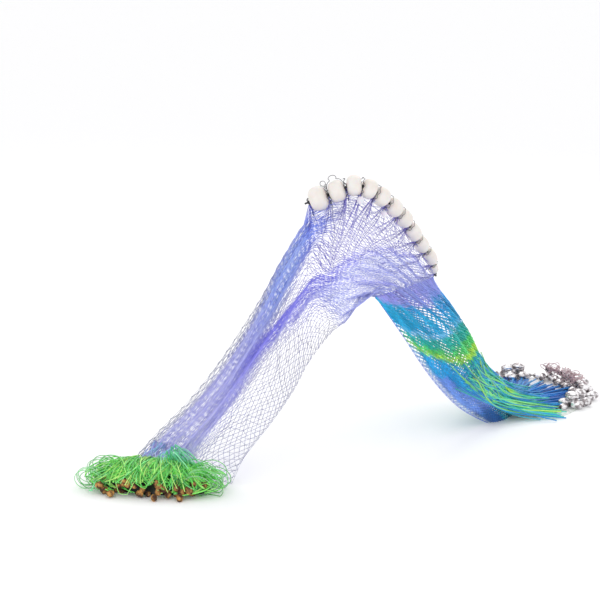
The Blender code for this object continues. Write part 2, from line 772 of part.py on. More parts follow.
def add_clay_sinkers(group, root, material):
    """Lumps of clay on the floor, each leaning on the core's upright wall between two strands."""
    low = core_ring(*TANGLE_LEVELS[0])
    core_middle = tangle_axes()[0]
    chance = random.Random(TANGLE_SEED)
    for number, (slot, across) in enumerate(CLAY_SINKERS, start=1):
        sector = (slot + TANGLE_FIRST_SECTOR) % TANGLE_SECTORS
        a, b = low[sector], low[(sector + 1) % TANGLE_SECTORS]
        out = unit(np.array((b[1] - a[1], a[0] - b[0], 0.0)))
        if np.dot(out, (a + b) / 2 - core_middle) < 0:
            out = -out
        name = f"clay_sinker_{number:02d}"
        build = bmesh.new()
        bmesh.ops.create_icosphere(build, subdivisions=2, radius=across / 2)
        squash = [chance.uniform(0.84, 1.0) for _ in range(3)]
        for vert in build.verts:
            vert.co = Vector([value * share for value, share in zip(vert.co, squash)])
            vert.co.z = max(vert.co.z, -across * 0.36)
        back = min(vert.co.dot(Vector(out)) for vert in build.verts)
        middle = (a + b) / 2 + out * (CLAY_GAP - back)
        middle[2] = across * 0.36
        mesh = bpy.data.meshes.new(name)
        build.to_mesh(mesh)
        build.free()
        place(group, root, bpy.data.objects.new(name, mesh), material, middle)


def main():
    clear_scene()
    group = new_collection("gill_net")
    root = bpy.data.objects.new("net_middle", None)
    root.location = (-PLAN_MIDDLE[0], -PLAN_MIDDLE[1], 0.0)
    group.objects.link(root)
    lilac = principled("Lilac netting", (0.30, 0.27, 0.78), 0.5)
    banded = principled("Banded netting", (0.03, 0.35, 0.60), 0.5)
    mesh = mesh_lattice("netting_lilac", LILAC_ROWS, LILAC_COLUMNS, lilac_surface,
                        lilac_open, lilac_pleated, (CREST_ROW, LILAC_ROWS))
    add_netting(group, root, "netting_lilac", mesh, lilac)
    mesh = mesh_lattice("netting_banded", BANDED_ROWS, BANDED_COLUMNS, banded_surface,
                        banded_open, lambda row, share: True, (0, 0))
    add_netting(group, root, "netting_banded", mesh, banded)
    rope = principled("Braided line", (0.10, 0.09, 0.12), 0.7)
    twine = principled("Tarred twine", (0.03, 0.02, 0.04), 0.6)
    foam = principled("Float foam", (0.80, 0.74, 0.70), 0.5)
    lead = principled("Polished lead", (0.62, 0.60, 0.60), 0.25, 1.0)
    blue = principled("Blue twine", (0.01, 0.12, 0.55), 0.45)
    green = principled("Green twine", (0.05, 0.60, 0.30), 0.45)
    add_float_line(group, root, rope, foam)
    add_lashings(group, root, twine)
    add_loops(group, root, twine)
    add_spindles(group, root, foam)
    add_leads(group, root, rope, lead)
    for row, material in zip(FRINGES, (blue, green)):
        add_fringe(group, root, row, material)
    add_tangle(group, root, green)
    clay = principled("Fired clay", (0.22, 0.09, 0.03), 0.7)
    add_clay_sinkers(group, root, clay)


main()
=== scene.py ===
"""Gill net standing as an arch: fine twine netting, drum floats, sinkers and both tangled feet.

Metres, +Z up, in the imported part's own frame.
"""

import math

import bpy
import numpy as np
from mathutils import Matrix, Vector


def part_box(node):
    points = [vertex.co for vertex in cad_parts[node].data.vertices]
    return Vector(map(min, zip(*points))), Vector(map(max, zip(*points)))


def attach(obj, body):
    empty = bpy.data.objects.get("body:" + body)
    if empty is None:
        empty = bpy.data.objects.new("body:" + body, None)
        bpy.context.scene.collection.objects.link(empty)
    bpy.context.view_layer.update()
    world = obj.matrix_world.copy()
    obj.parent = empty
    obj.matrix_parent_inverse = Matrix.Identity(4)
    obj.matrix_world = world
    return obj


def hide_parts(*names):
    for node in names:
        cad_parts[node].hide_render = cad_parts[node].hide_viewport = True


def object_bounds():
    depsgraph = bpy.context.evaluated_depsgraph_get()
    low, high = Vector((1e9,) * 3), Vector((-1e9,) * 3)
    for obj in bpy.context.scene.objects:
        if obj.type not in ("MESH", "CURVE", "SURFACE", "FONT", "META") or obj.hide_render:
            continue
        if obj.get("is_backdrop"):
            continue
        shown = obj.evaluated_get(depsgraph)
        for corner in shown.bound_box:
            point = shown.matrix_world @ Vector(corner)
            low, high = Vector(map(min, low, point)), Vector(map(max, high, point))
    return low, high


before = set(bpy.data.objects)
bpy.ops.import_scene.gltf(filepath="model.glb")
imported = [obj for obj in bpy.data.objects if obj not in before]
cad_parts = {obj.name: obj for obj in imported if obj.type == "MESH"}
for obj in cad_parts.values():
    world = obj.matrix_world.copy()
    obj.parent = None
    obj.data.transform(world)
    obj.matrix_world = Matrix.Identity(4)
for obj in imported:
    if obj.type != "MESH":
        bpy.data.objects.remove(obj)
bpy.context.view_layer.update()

bl_info = {
    "name": "Gill net",
    "version": (1, 0, 0),
    "blender": (4, 5, 0),
    "location": "View3D > Sidebar > Gill net",
    "description": "Builds a gill net's netting, floats, sinkers and loose twine",
    "category": "Add Mesh",
}

MM = 0.001
# The tables below are laid out from the near edge's corner; the whole net's plan is centred here
PLAN_MIDDLE = np.array((-0.0266, 0.0600, 0.0))

# ---------------------------------------------------------------- the two webs' outlines

# A web is laid out by row, from one end to the other, and by share of its width from the far edge
LILAC_ROWS = 50
LILAC_COLUMNS = 16
# The row where the leg ends and the crest under the floats begins
CREST_ROW = 28
# How far the foot's far corner is drawn out, how deep the pleats are, and how far the main fold stands out
FOOT_SPREAD = 0.032
LILAC_PLEAT = 0.0050
LILAC_FOLD = 0.018
# Edge of the lilac web on its far side, over the leg
LEG_FAR_EDGE = (
    # row     x      y      z
    (0, -0.566, 0.158, 0.0013),
    (4, -0.501, 0.144, 0.082),
    (8, -0.437, 0.129, 0.150),
    (12, -0.379, 0.115, 0.222),
    (16, -0.325, 0.101, 0.296),
    (20, -0.273, 0.088, 0.372),
    (24, -0.226, 0.075, 0.452),
)
# Edge of the lilac web on its near side, over the leg and under the crest
NEAR_EDGE = (
    # row     x      y      z
    (0, -0.424, 0.000, 0.0013),
    (4, -0.408, -0.016, 0.052),
    (8, -0.380, -0.027, 0.090),
    (12, -0.346, -0.032, 0.124),
    (16, -0.314, -0.036, 0.159),
    (20, -0.284, -0.040, 0.197),
    (24, -0.259, -0.044, 0.238),
    (28, -0.228, -0.048, 0.274),
    (35, -0.187, -0.052, 0.310),
    (42, -0.142, -0.056, 0.341),
    (50, -0.086, -0.062, 0.364),
)
# The two gathered bands of the lilac web, as shares of its width from the far edge
BANDS = (
    # row  left_from  left_to  right_from  right_to
    (0, 0.03, 0.54, 0.38, 0.60),
    (6, 0.07, 0.46, 0.34, 0.54),
    (12, 0.08, 0.38, 0.29, 0.46),
    (17, 0.08, 0.29, 0.30, 0.43),
    (20.5, 0.03, 0.27, 0.36, 0.51),
    (24, 0.00, 0.27, 0.43, 0.60),
    (28, 0.00, 0.20, 0.48, 0.67),
    (31, 0.00, 0.11, 0.50, 0.80),
    (34.5, 0.00, 0.03, 0.45, 0.95),
    (38, 0.00, 0.01, 0.36, 1.04),
    (42, 0.00, 0.01, 0.21, 1.06),
    (45, 0.00, 0.01, 0.09, 1.08),
    (50, 0.00, 0.01, 0.02, 1.10),
)
# The drum floats from the leg's side to the banded web: their middles and sizes
FLOATS = (
    # x       y       z    across  length
    (-0.158, 0.045, 0.571, 0.054, 0.032),
    (-0.129, 0.018, 0.587, 0.048, 0.027),
    (-0.102, -0.006, 0.600, 0.045, 0.024),
    (-0.074, -0.022, 0.592, 0.043, 0.023),
    (-0.045, -0.028, 0.573, 0.042, 0.026),
    (-0.006, -0.024, 0.545, 0.040, 0.036),
    (0.033, -0.014, 0.516, 0.038, 0.038),
    (0.071, -0.002, 0.479, 0.036, 0.040),
    (0.107, 0.010, 0.445, 0.034, 0.038),
    (0.145, 0.022, 0.410, 0.031, 0.038),
    (0.164, 0.030, 0.380, 0.022, 0.020),
)
# The end lashings' distance from their floats, and how far a collar lies inside the float's radius
LASHING_STANDOFF = 0.006
LACE_INSET = 0.008
# How far below the floats the netting's edge hangs
EDGE_DROP = 0.004
LINE_RADIUS = 0.0020
BORE_PLAY = 0.0006
LINE_TAIL = 0.016

BANDED_ROWS = 24
BANDED_COLUMNS = 18
BANDED_PLEAT = 0.003
SEAM_SWELL = 0.0005
# The lowest middle of a strand over the floor
FLOOR_LIFT = 0.0013
# Both edges of the banded web, and how far it swells out between them
BANDED_EDGES = (
    # row  far_x  far_y  far_z   near_x  near_y  near_z  swell
    (3, 0.226, 0.044, 0.276, -0.043, -0.061, 0.312, 0.036),
    (6, 0.254, 0.052, 0.231, 0.000, -0.059, 0.259, 0.056),
    (9, 0.280, 0.060, 0.187, 0.041, -0.056, 0.207, 0.064),
    (12, 0.308, 0.070, 0.145, 0.084, -0.052, 0.157, 0.065),
    (15, 0.344, 0.084, 0.107, 0.130, -0.048, 0.110, 0.060),
    (18, 0.392, 0.098, 0.072, 0.182, -0.043, 0.066, 0.058),
    (21, 0.444, 0.112, 0.038, 0.240, -0.034, 0.030, 0.054),
    (24, 0.494, 0.122, 0.0013, 0.298, -0.020, 0.0013, 0.050),
)

# ---------------------------------------------------------------- both feet

# The sinkers on the foot line, from the back round to the front
LEADS = (
    # x      y
    (0.580, 0.222), (0.614, 0.216), (0.646, 0.201), (0.670, 0.175), (0.681, 0.142), (0.679, 0.107),
    (0.669, 0.073), (0.657, 0.040), (0.641, 0.008), (0.618, -0.020), (0.588, -0.040), (0.554, -0.050),
    (0.519, -0.054),
)
LEAD_ACROSS = 0.016
LEAD_LENGTH = 0.029
LEAD_LINE_RADIUS = 0.0015
# How far the tips of the loose twine pass the net's own depth
FRINGE_PAST = 0.012

# The green foot: the way along it, its shift along the web's foot, its clearance and its half sizes
TANGLE_ALONG = (0.664, -0.748)
TANGLE_SHIFT = -0.045
TANGLE_STANDOFF = 0.0006
TANGLE_HALF_LENGTH = 0.120
TANGLE_HALF_WIDTH = 0.052
TANGLE_HEIGHT = 0.040

# ---------------------------------------------------------------- small maths


def smooth_table(table, places):
    """Values of a table at given places: a cubic through its rows, with slopes from their neighbours."""
    rows = np.array(table, float)
    knots, values = rows[:, 0], rows[:, 1:]
    slopes = np.gradient(values, knots, axis=0)
    places = np.asarray(places, float)
    index = np.clip(np.searchsorted(knots, places, side="right") - 1, 0, len(knots) - 2)
    span = knots[index + 1] - knots[index]
    t = ((places - knots[index]) / span)[..., None]
    span = span[..., None]
    start = values[index] * (2 * t**3 - 3 * t**2 + 1) + slopes[index] * span * (t**3 - 2 * t**2 + t)
    end = values[index + 1] * (3 * t**2 - 2 * t**3) + slopes[index + 1] * span * (t**3 - t**2)
    return start + end


def window(value, low, high, soft):
    """1 between low and high, falling smoothly to 0 over soft on both sides."""
    rise = np.clip((value - low) / soft + 0.5, 0, 1)
    fall = np.clip((high - value) / soft + 0.5, 0, 1)
    return rise * rise * (3 - 2 * rise) * fall * fall * (3 - 2 * fall)


def unit(vector):
    """The same directions at length one."""
    return vector / np.maximum(np.linalg.norm(vector, axis=-1, keepdims=True), 1e-12)


def blend(a, b, share):
    """a where share is 0, b where it is 1; colours or points."""
    return a + (b - a) * np.asarray(share)[..., None]


def column(chance, low, high, count):
    """One even draw for each strand, as a column."""
    return chance.uniform(low, high, (count, 1))


# ---------------------------------------------------------------- where everything lies


def float_frames():
    """Each float's middle and the direction of the line through it."""
    middles = np.array([row[:3] for row in FLOATS])
    return middles, unit(np.gradient(middles, axis=0))


def lashing_places():
    """Twelve places on the line: before, between and after the floats, with the line's direction."""
    middles, along = float_frames()
    half = np.array([row[4] for row in FLOATS])[:, None] / 2
    starts = middles - along * half
    ends = middles + along * half
    first = starts[:1] - along[:1] * LASHING_STANDOFF
    last = ends[-1:] + along[-1:] * LASHING_STANDOFF
    between = (ends[:-1] + starts[1:]) / 2
    heading = np.vstack([along[:1], unit(along[1:] + along[:-1]), along[-1:]])
    return np.vstack([first, between, last]), heading


def crest_drops():
    """How far below the line the netting's edge hangs at each lashing, and in which direction."""
    places, heading = lashing_places()
    rows = np.linspace(CREST_ROW, LILAC_ROWS, len(places))
    toward = smooth_table(NEAR_EDGE, rows) - places
    across = unit(toward - heading * np.sum(toward * heading, axis=1, keepdims=True))
    radii = np.array([row[3] for row in FLOATS]) / 2
    reach = np.maximum(np.r_[radii[:1], radii], np.r_[radii, radii[-1:]]) + EDGE_DROP
    return across, reach[:, None]


def lilac_far_edge():
    """The far edge over the leg, and on along the points where the lashings hold it."""
    places, _ = lashing_places()
    across, reach = crest_drops()
    rows = np.linspace(CREST_ROW, LILAC_ROWS, len(places))
    crest = np.column_stack([rows, places + across * reach])
    return np.vstack([np.array(LEG_FAR_EDGE), crest])


def lilac_base(row, share):
    """The web without folds: straight across from its far edge to its near edge at every row."""
    far = smooth_table(lilac_far_edge(), row)
    near = smooth_table(NEAR_EDGE, row)
    return blend(far, near, share)


def facing(base, row, share, last_row, row_step=0.5, share_step=0.02):
    """Unit normals of a base surface, worked out from small steps along and across it."""
    along = base(np.minimum(row + row_step, last_row), share) - base(np.maximum(row - row_step, 0), share)
    across = base(row, share + share_step) - base(row, share - share_step)
    return unit(np.cross(across, along))


def lilac_bands(row, share, soft=0.06):
    """How far each point lies inside the left and the right gathered band, from 0 to 1."""
    left_from, left_to, right_from, right_to = np.moveaxis(smooth_table(BANDS, row), -1, 0)
    left = window(share, left_from, left_to, soft)
    right = window(share, right_from, right_to, soft)
    return left, right


def crest_rise(row, share):
    """The edge of the netting is drawn up to the line at every lashing, and nearly touches each float."""
    across, reach = crest_drops()
    rows = np.linspace(CREST_ROW, LILAC_ROWS, len(across))
    place = (row - CREST_ROW) / (rows[1] - rows[0])
    closeness = 1 - 2 * np.abs(place - np.round(place))
    drop = np.interp(row, rows, reach[:, 0])
    height = EDGE_DROP - 1.0 * MM + (drop - LINE_RADIUS - (EDGE_DROP - 1.0 * MM)) * closeness ** 1.6
    fade = np.clip(1 - share / 0.15, 0, 1) ** 1.5 * window(row, CREST_ROW - 0.5, 99, 1.0)
    return -smooth_table(np.column_stack([rows, across]), row) * (height * fade)[..., None]


def lilac_surface(row, share, lift=0.0):
    """The leaning web: its main fold stands out of the base, and its dense bands are a cosine of pleats."""
    left, right = lilac_bands(row, share)
    dense = np.maximum(left, right)
    ends = window(row, 1.5, LILAC_ROWS - 1.5, 3.0)
    sides = window(share, 0.04, 0.96, 0.10)
    deeper = 1 + 0.9 * window(row, 29, 99, 6)
    pleat = LILAC_PLEAT * deeper * dense * np.cos(math.pi * share * LILAC_COLUMNS) * ends * sides
    fold = LILAC_FOLD * right * window(share, 0.38, 2, 0.25) * ends
    hollow = 0.010 * np.sin(math.pi * share) * ends
    normal = facing(lilac_base, row, share, LILAC_ROWS)
    point = lilac_base(row, share) + normal * (pleat + fold - hollow + lift)[..., None]
    spread = FOOT_SPREAD * np.clip(1 - row / 13, 0, 1) ** 1.6 * (1 - share)
    point = point + crest_rise(row, share) - unit(np.array((*TANGLE_ALONG, 0.0))) * spread[..., None]
    point[..., 2] = np.maximum(point[..., 2], 0.6 * MM)
    return point - PLAN_MIDDLE


def banded_edges():
    """The table of edges, with a first row that lies just under the lilac web's last row."""
    far = lilac_far_edge()[-1][1:]
    near = np.array(NEAR_EDGE[-1][1:])
    first = np.concatenate([[0.0], far, near, [SEAM_SWELL]])
    return np.vstack([first, np.array(BANDED_EDGES)])


def banded_base(row, share):
    """Half a tube at every row: a half ellipse from the far edge to the near edge, out by the swell."""
    table = banded_edges()
    edges = smooth_table(table, row)
    far = edges[..., 0:3]
    near = edges[..., 3:6]
    swell = edges[..., 6:7]
    chord = unit(near - far)
    step = (smooth_table(table, np.minimum(row + 0.5, BANDED_ROWS))
            - smooth_table(table, np.maximum(row - 0.5, 0)))
    outward = unit(np.cross(chord, step[..., 0:3] + step[..., 3:6]))
    outward[..., 2] *= window(row, -5.0, BANDED_ROWS - 2.0, 4.0)
    outward = unit(outward)
    turn = math.pi * share[..., None]
    return (far + near) / 2 - (near - far) / 2 * np.cos(turn) + outward * swell * np.sin(turn)


def banded_surface(row, share, lift=0.0):
    """The half tube with a cosine of pleats across it, never below the floor."""
    ends = window(row, 1.5, BANDED_ROWS - 2.5, 3.0)
    sides = window(share, 0.04, 0.96, 0.10)
    pleat = BANDED_PLEAT * np.cos(math.pi * share * BANDED_COLUMNS) * ends * sides
    normal = facing(banded_base, row, share, BANDED_ROWS)
    point = banded_base(row, share) + normal * (pleat + lift)[..., None]
    point[..., 2] = np.maximum(point[..., 2], FLOOR_LIFT)
    return point - PLAN_MIDDLE


def tangle_axes():
    """Middle of the green foot's core, the way along the web's foot, and the way out in front of it."""
    along = unit(np.array((*TANGLE_ALONG, 0.0)))
    front = np.array((along[1], -along[0], 0.0))
    foot = (np.array(LEG_FAR_EDGE[0][1:]) + np.array(NEAR_EDGE[0][1:])) / 2
    foot[2] = 0.0
    middle = foot + along * TANGLE_SHIFT + front * (TANGLE_STANDOFF + TANGLE_HALF_WIDTH)
    return middle - PLAN_MIDDLE, along, front


SPINDLES = (
    # lashing  across  length  lean along the line  lean away from the web
    (4, 0.016, 0.026, -0.25, 1.10),
    (6, 0.013, 0.036, -0.75, 1.20),
)
# How far a spindle hangs out from its lashing, and how far above the lashing's foot
SPINDLE_HANG = 0.0022
SPINDLE_RISE = 0.0022
# A small twine loop that stands between two floats: along the line, then above it
SHORT_LOOP = (
    # along    above
    (-0.0012, 0.0034), (-0.0012, 0.0120), (-0.0025, 0.0195), (-0.0080, 0.0240), (-0.0078, 0.0295),
    (-0.0030, 0.0322), (0.0020, 0.0295), (0.0025, 0.0240), (0.0005, 0.0195), (0.0012, 0.0120),
    (0.0012, 0.0034),
)
# A larger loop that passes round the second float and stands over it
TALL_LOOP = (
    # along    above
    (-0.0190, 0.0034), (-0.0188, 0.0110), (-0.0172, 0.0185), (-0.0125, 0.0243), (-0.0075, 0.0268),
    (-0.0088, 0.0315), (-0.0050, 0.0355), (0.0015, 0.0362), (0.0068, 0.0335), (0.0080, 0.0285),
    (0.0070, 0.0262), (0.0130, 0.0240), (0.0172, 0.0185), (0.0188, 0.0110), (0.0190, 0.0034),
)
# Sinkers heaped beside and over the foot line, one slice of the heap: side and height in mm
HEAP_SLICE = ((-22, 11), (15, 11), (-6, 29))
HEAP_PLACES = (1.5, 2.6, 4.6, 5.7, 6.8, 7.9, 9.0, 10.1, 11.2, 12.2)
# Clay lumps caught up in the green strands: mm along the foot, out in front, up, and across
CAUGHT_CLAY = (
    (-103, 60, 19, 16), (-92, 63, 10, 15), (-98, 48, 31, 13), (-60, 63, 22, 13), (-49, 64, 30, 15),
    (-40, 66, 26, 14), (-28, 66, 25, 15), (-15, 68, 9, 15), (-9, 67, 19, 15), (20, 66, 31, 15),
    (28, 67, 26, 16), (24, 68, 15, 14), (36, 67, 20, 15), (45, 67, 11, 15), (62, 65, 24, 15),
    (71, 65, 14, 14), (86, 61, 19, 16), (94, 54, 31, 13), (113, 42, 26, 14), (-75, 76, 8, 16),
    (71, 76, 7, 14), (19, 84, 7, 14),
)


def lead_frames():
    """Each sinker's middle on the floor and the direction of the line through it."""
    middles = np.array([(x, y, LEAD_ACROSS / 2) for x, y in LEADS])
    return middles, unit(np.gradient(middles, axis=0))


def threaded_route(middles, along, lengths):
    """The line's own route: straight through each bored piece, with a free tail past both ends."""
    half = np.array(lengths)[:, None] / 2
    stops = np.stack([middles - along * half, middles + along * half], axis=1).reshape(-1, 3)
    return np.vstack([stops[:1] - along[:1] * LINE_TAIL, stops, stops[-1:] + along[-1:] * LINE_TAIL])


def standing(shape, spot, way):
    """A small twine loop that stands at a spot of the line; its rows run along the line and above it."""
    up = np.array((0.0, 0.0, 1.0))
    rise = unit(up - way * np.dot(up, way))
    return np.array([spot + way * x + rise * z for x, z in shape])


def resampled(path, count):
    """The same path with evenly numbered points."""
    place = np.linspace(0, len(path) - 1, count)
    return np.column_stack([np.interp(place, np.arange(len(path)), path[:, k]) for k in range(3)])


def smoothed(paths, finer):
    """Paths through the same points, with finer steps along a cubic."""
    count = paths.shape[1]
    place = np.linspace(0, count - 1, (count - 1) * finer + 1)
    table = [np.column_stack([np.arange(count), path]) for path in paths]
    return np.stack([smooth_table(rows, place) for rows in table])


# ---------------------------------------------------------------- meshes from arrays


def new_piece(name, points, faces, material, dye=None):
    """A smooth mesh object from an array of points and lists of faces, with its dye as an attribute."""
    mesh = bpy.data.meshes.new(name)
    mesh.from_pydata(points.reshape(-1, 3).tolist(), [], faces)
    mesh.polygons.foreach_set("use_smooth", [True] * len(mesh.polygons))
    if dye is not None:
        attribute = mesh.color_attributes.new("Dye", "FLOAT_COLOR", "POINT")
        rgba = np.column_stack([dye.reshape(-1, 3), np.ones(len(mesh.vertices))])
        attribute.data.foreach_set("color", rgba.ravel())
    mesh.materials.append(material)
    piece = bpy.data.objects.new(name, mesh)
    bpy.context.scene.collection.objects.link(piece)
    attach(piece, "root")
    return piece


def tubes(name, paths, radii, sides, material, dye=None):
    """One closed tube along each path: rings of points at a radius round the path, square to its way.

    paths: strands x points x 3. radii: the same without its last axis, or one number.
    Each ring's first direction is the one before it, made square to the path's new direction.
    """
    strands, count, _ = paths.shape
    radii = np.broadcast_to(radii, (strands, count))
    ways = unit(np.gradient(paths, axis=1))
    guess = np.where(np.abs(ways[:, 0, 2:3]) < 0.8, (0.0, 0.0, 1.0), (1.0, 0.0, 0.0))
    first = np.empty_like(paths)
    for step in range(count):
        way = ways[:, step]
        guess = unit(guess - way * np.sum(guess * way, axis=1, keepdims=True))
        first[:, step] = guess
    second = np.cross(ways, first)
    turns = np.arange(sides) * 2 * math.pi / sides
    ring = first[:, :, None] * np.cos(turns)[:, None] + second[:, :, None] * np.sin(turns)[:, None]
    points = paths[:, :, None] + ring * radii[:, :, None, None]
    index = np.arange(strands * count * sides).reshape(strands, count, sides)
    after = np.roll(index, -1, axis=2)
    quads = np.stack([index[:, :-1], after[:, :-1], after[:, 1:], index[:, 1:]], axis=-1)
    faces = quads.reshape(-1, 4).tolist() + index[:, 0, ::-1].tolist() + index[:, -1].tolist()
    colours = None
    if dye is not None:
        colours = np.repeat(np.broadcast_to(dye, paths.shape)[:, :, None], sides, axis=2)
    return new_piece(name, points, faces, material, colours)


def signed_volume(points, quads):
    """Six times the volume inside a closed mesh of four-sided faces; negative if inside out."""
    a, b, c, d = (points[quads[:, k]] for k in range(4))
    return float(np.sum(np.cross(b - a, c - a) * a + np.cross(c - a, d - a) * a))


def grid_piece(name, points, material, dye=None, capped=True):
    """A surface of rings of points, turned outwards by its signed volume.

    A flat face lies over the first and the last ring, or, uncapped, the last ring joins the first one.
    """
    rows, columns, _ = points.shape
    index = np.arange(rows * columns).reshape(rows, columns)
    right = np.roll(index, -1, axis=1)
    quads = np.stack([index, right, np.roll(right, -1, axis=0), np.roll(index, -1, axis=0)], axis=-1)
    quads = quads[:rows - capped].reshape(-1, 4)
    caps = [index[0, ::-1], index[-1]] if capped else []
    flat = points.reshape(-1, 3)
    if signed_volume(flat - flat.mean(axis=0), quads) < 0:
        quads = quads[:, ::-1]
        caps = [cap[::-1] for cap in caps]
    return new_piece(name, flat, quads.tolist() + [cap.tolist() for cap in caps], material, dye)


def square_axes(axis):
    """Two unit directions square to an axis and to each other."""
    axis = unit(np.asarray(axis, float))
    guess = np.array((0.0, 0.0, 1.0)) if abs(axis[2]) < 0.9 else np.array((1.0, 0.0, 0.0))
    first = unit(guess - axis * np.dot(guess, axis))
    return first, np.cross(axis, first)


def turned_points(profile, sides, middle, axis):
    """A profile of (radius, height) rows turned about an axis through middle: rings of points."""
    first, second = square_axes(axis)
    turns = np.arange(sides) * 2 * math.pi / sides
    ring = first * np.cos(turns)[:, None] + second * np.sin(turns)[:, None]
    profile = np.array(profile)
    return middle + ring[None] * profile[:, 0, None, None] + unit(axis) * profile[:, 1, None, None]


# ---------------------------------------------------------------- finishes


def linear(code):
    """An sRGB hex colour as linear red, green and blue."""
    values = np.array([int(code[k:k + 2], 16) / 255 for k in (1, 3, 5)])
    return np.where(values <= 0.04045, values / 12.92, ((values + 0.055) / 1.055) ** 2.4)


def add_node(tree, kind, settings=None, links=None):
    """Add a node, set its properties and sockets, and link (node, output) pairs to its inputs."""
    node = tree.nodes.new(kind)
    for key, value in (settings or {}).items():
        if isinstance(key, str) and hasattr(node, key):
            setattr(node, key, value)
        else:
            node.inputs[key].default_value = value
    for key, (source, output) in (links or {}).items():
        tree.links.new(source.outputs[output], node.inputs[key])
    return node


def start_material(name, settings):
    """A material with one Principled BSDF, whose constant sockets are set."""
    material = bpy.data.materials.new(name)
    material.use_nodes = True
    tree = material.node_tree
    shader = tree.nodes["Principled BSDF"]
    for key, value in settings.items():
        shader.inputs[key].default_value = value
    return material, tree, shader


def add_clouds(tree, place, size, detail, dark, pale):
    """Noise clouds of a size, and a ramp over them; dark and pale are a hex colour and its place."""
    clouds = add_node(tree, "ShaderNodeTexNoise", {"Scale": 1 / size, "Detail": detail},
                      {"Vector": (place, "Object")})
    tint = add_node(tree, "ShaderNodeValToRGB", None, {"Fac": (clouds, "Fac")})
    for stop, (code, position) in zip(tint.color_ramp.elements, (dark, pale)):
        stop.position = position
        stop.color = (*linear(code), 1.0)
    return clouds, tint


def add_relief(tree, shader, pattern, output, strength, depth):
    """Raise the surface by a pattern's output, up to a depth."""
    bump = add_node(tree, "ShaderNodeBump", {"Strength": strength, "Distance": depth},
                    {"Height": (pattern, output)})
    tree.links.new(bump.outputs[0], shader.inputs["Normal"])


def nylon_twine(name, dyed, spacing, roughness=0.42, sheen=0.25):
    """Dyed nylon twine: a soft sheen along each strand, and a fine lay of twisted filaments."""
    material, tree, shader = start_material(name, {
        "Roughness": roughness, "IOR": 1.53, "Sheen Weight": sheen, "Sheen Roughness": 0.4})
    place = add_node(tree, "ShaderNodeTexCoord")
    at_place = {"Vector": (place, "Object")}
    grain = add_node(tree, "ShaderNodeTexNoise", {"Scale": 1 / spacing, "Detail": 3.0, "Roughness": 0.6},
                     at_place)
    tone = add_node(tree, "ShaderNodeMapRange", {"To Min": 0.80, "To Max": 1.18}, {"Value": (grain, "Fac")})
    if dyed is None:
        colour = add_node(tree, "ShaderNodeAttribute", {"attribute_name": "Dye"})
    else:
        colour = add_node(tree, "ShaderNodeRGB")
        colour.outputs[0].default_value = (*linear(dyed), 1.0)
    tinted = add_node(tree, "ShaderNodeVectorMath", {"operation": "SCALE"},
                      {0: (colour, "Color"), "Scale": (tone, "Result")})
    tree.links.new(tinted.outputs[0], shader.inputs["Base Color"])
    lay = add_node(tree, "ShaderNodeTexWave", {"Scale": 0.9 / MM, "Distortion": 1.5}, at_place)
    add_relief(tree, shader, lay, "Fac", 0.12, 0.2 * MM)
    return material


def float_foam(name, light, warm):
    """Closed-cell foam, moulded: a satin skin with faint pores and a warmer tint where it is handled."""
    material, tree, shader = start_material(name, {
        "Roughness": 0.48, "IOR": 1.49, "Subsurface Weight": 0.12, "Subsurface Scale": 6 * MM})
    place = add_node(tree, "ShaderNodeTexCoord")
    _, tint = add_clouds(tree, place, 22 * MM, 4.0, (warm, 0.38), (light, 0.62))
    tree.links.new(tint.outputs[0], shader.inputs["Base Color"])
    pores = add_node(tree, "ShaderNodeTexVoronoi", {"Scale": 1 / (1.1 * MM)}, {"Vector": (place, "Object")})
    add_relief(tree, shader, pores, "Distance", 0.10, 0.15 * MM)
    return material


def polished_lead(name, bright, dull):
    """Cast lead, rubbed bright: mirror-like with darker, rougher clouds, and painted shade where "Dye" is
    dark.
    """
    material, tree, shader = start_material(name, {"Metallic": 1.0})
    place = add_node(tree, "ShaderNodeTexCoord")
    clouds, tint = add_clouds(tree, place, 9 * MM, 1.5, (dull, 0.38), (bright, 0.56))
    # The "Dye" attribute carries painted shade at the sinkers' ends
    end_shade_attribute = add_node(tree, "ShaderNodeAttribute", {"attribute_name": "Dye"})
    end_shaded_colour = add_node(tree, "ShaderNodeVectorMath", {"operation": "MULTIPLY"},
                         {0: (tint, "Color"), 1: (end_shade_attribute, "Color")})
    tree.links.new(end_shaded_colour.outputs[0], shader.inputs["Base Color"])
    rough = add_node(tree, "ShaderNodeMapRange", {"To Min": 0.42, "To Max": 0.16}, {"Value": (clouds, "Fac")})
    tree.links.new(rough.outputs[0], shader.inputs["Roughness"])
    add_relief(tree, shader, clouds, "Fac", 0.25, 0.4 * MM)
    return material


def baked_clay(name, pale, dark):
    """Low-fired clay, rolled by hand: matt and gritty, darker where it was scorched."""
    material, tree, shader = start_material(name, {"Roughness": 0.7, "IOR": 1.5})
    place = add_node(tree, "ShaderNodeTexCoord")
    _, tint = add_clouds(tree, place, 9 * MM, 4.0, (dark, 0.42), (pale, 0.66))
    tree.links.new(tint.outputs[0], shader.inputs["Base Color"])
    grit = add_node(tree, "ShaderNodeTexNoise", {"Scale": 1 / (0.8 * MM), "Detail": 3.0},
                    {"Vector": (place, "Object")})
    add_relief(tree, shader, grit, "Fac", 0.5, 0.5 * MM)
    return material


# ---------------------------------------------------------------- netting


def crowded_shares(rows, strands, crowding):
    """Where each column of knots stands at each row: evenly spaced once weighed by how crowded it is."""
    fine = np.linspace(0, 1, 241)
    density = crowding(rows[:, None], fine[None])
    total = np.cumsum(density, axis=1)
    total = (total - total[:, :1]) / (total[:, -1:] - total[:, :1])
    wanted = np.linspace(0, 1, strands + 1)
    return np.array([np.interp(wanted, row, fine) for row in total])


def zigzags(rows, shares, strands):
    """Row and share of every knot along each strand; strand k swings between columns k and k + 1."""
    step = np.arange(len(rows))
    strand = np.arange(strands)[:, None]
    column = strand + (step + strand) % 2
    return np.broadcast_to(rows, column.shape), shares[step[None], column], column


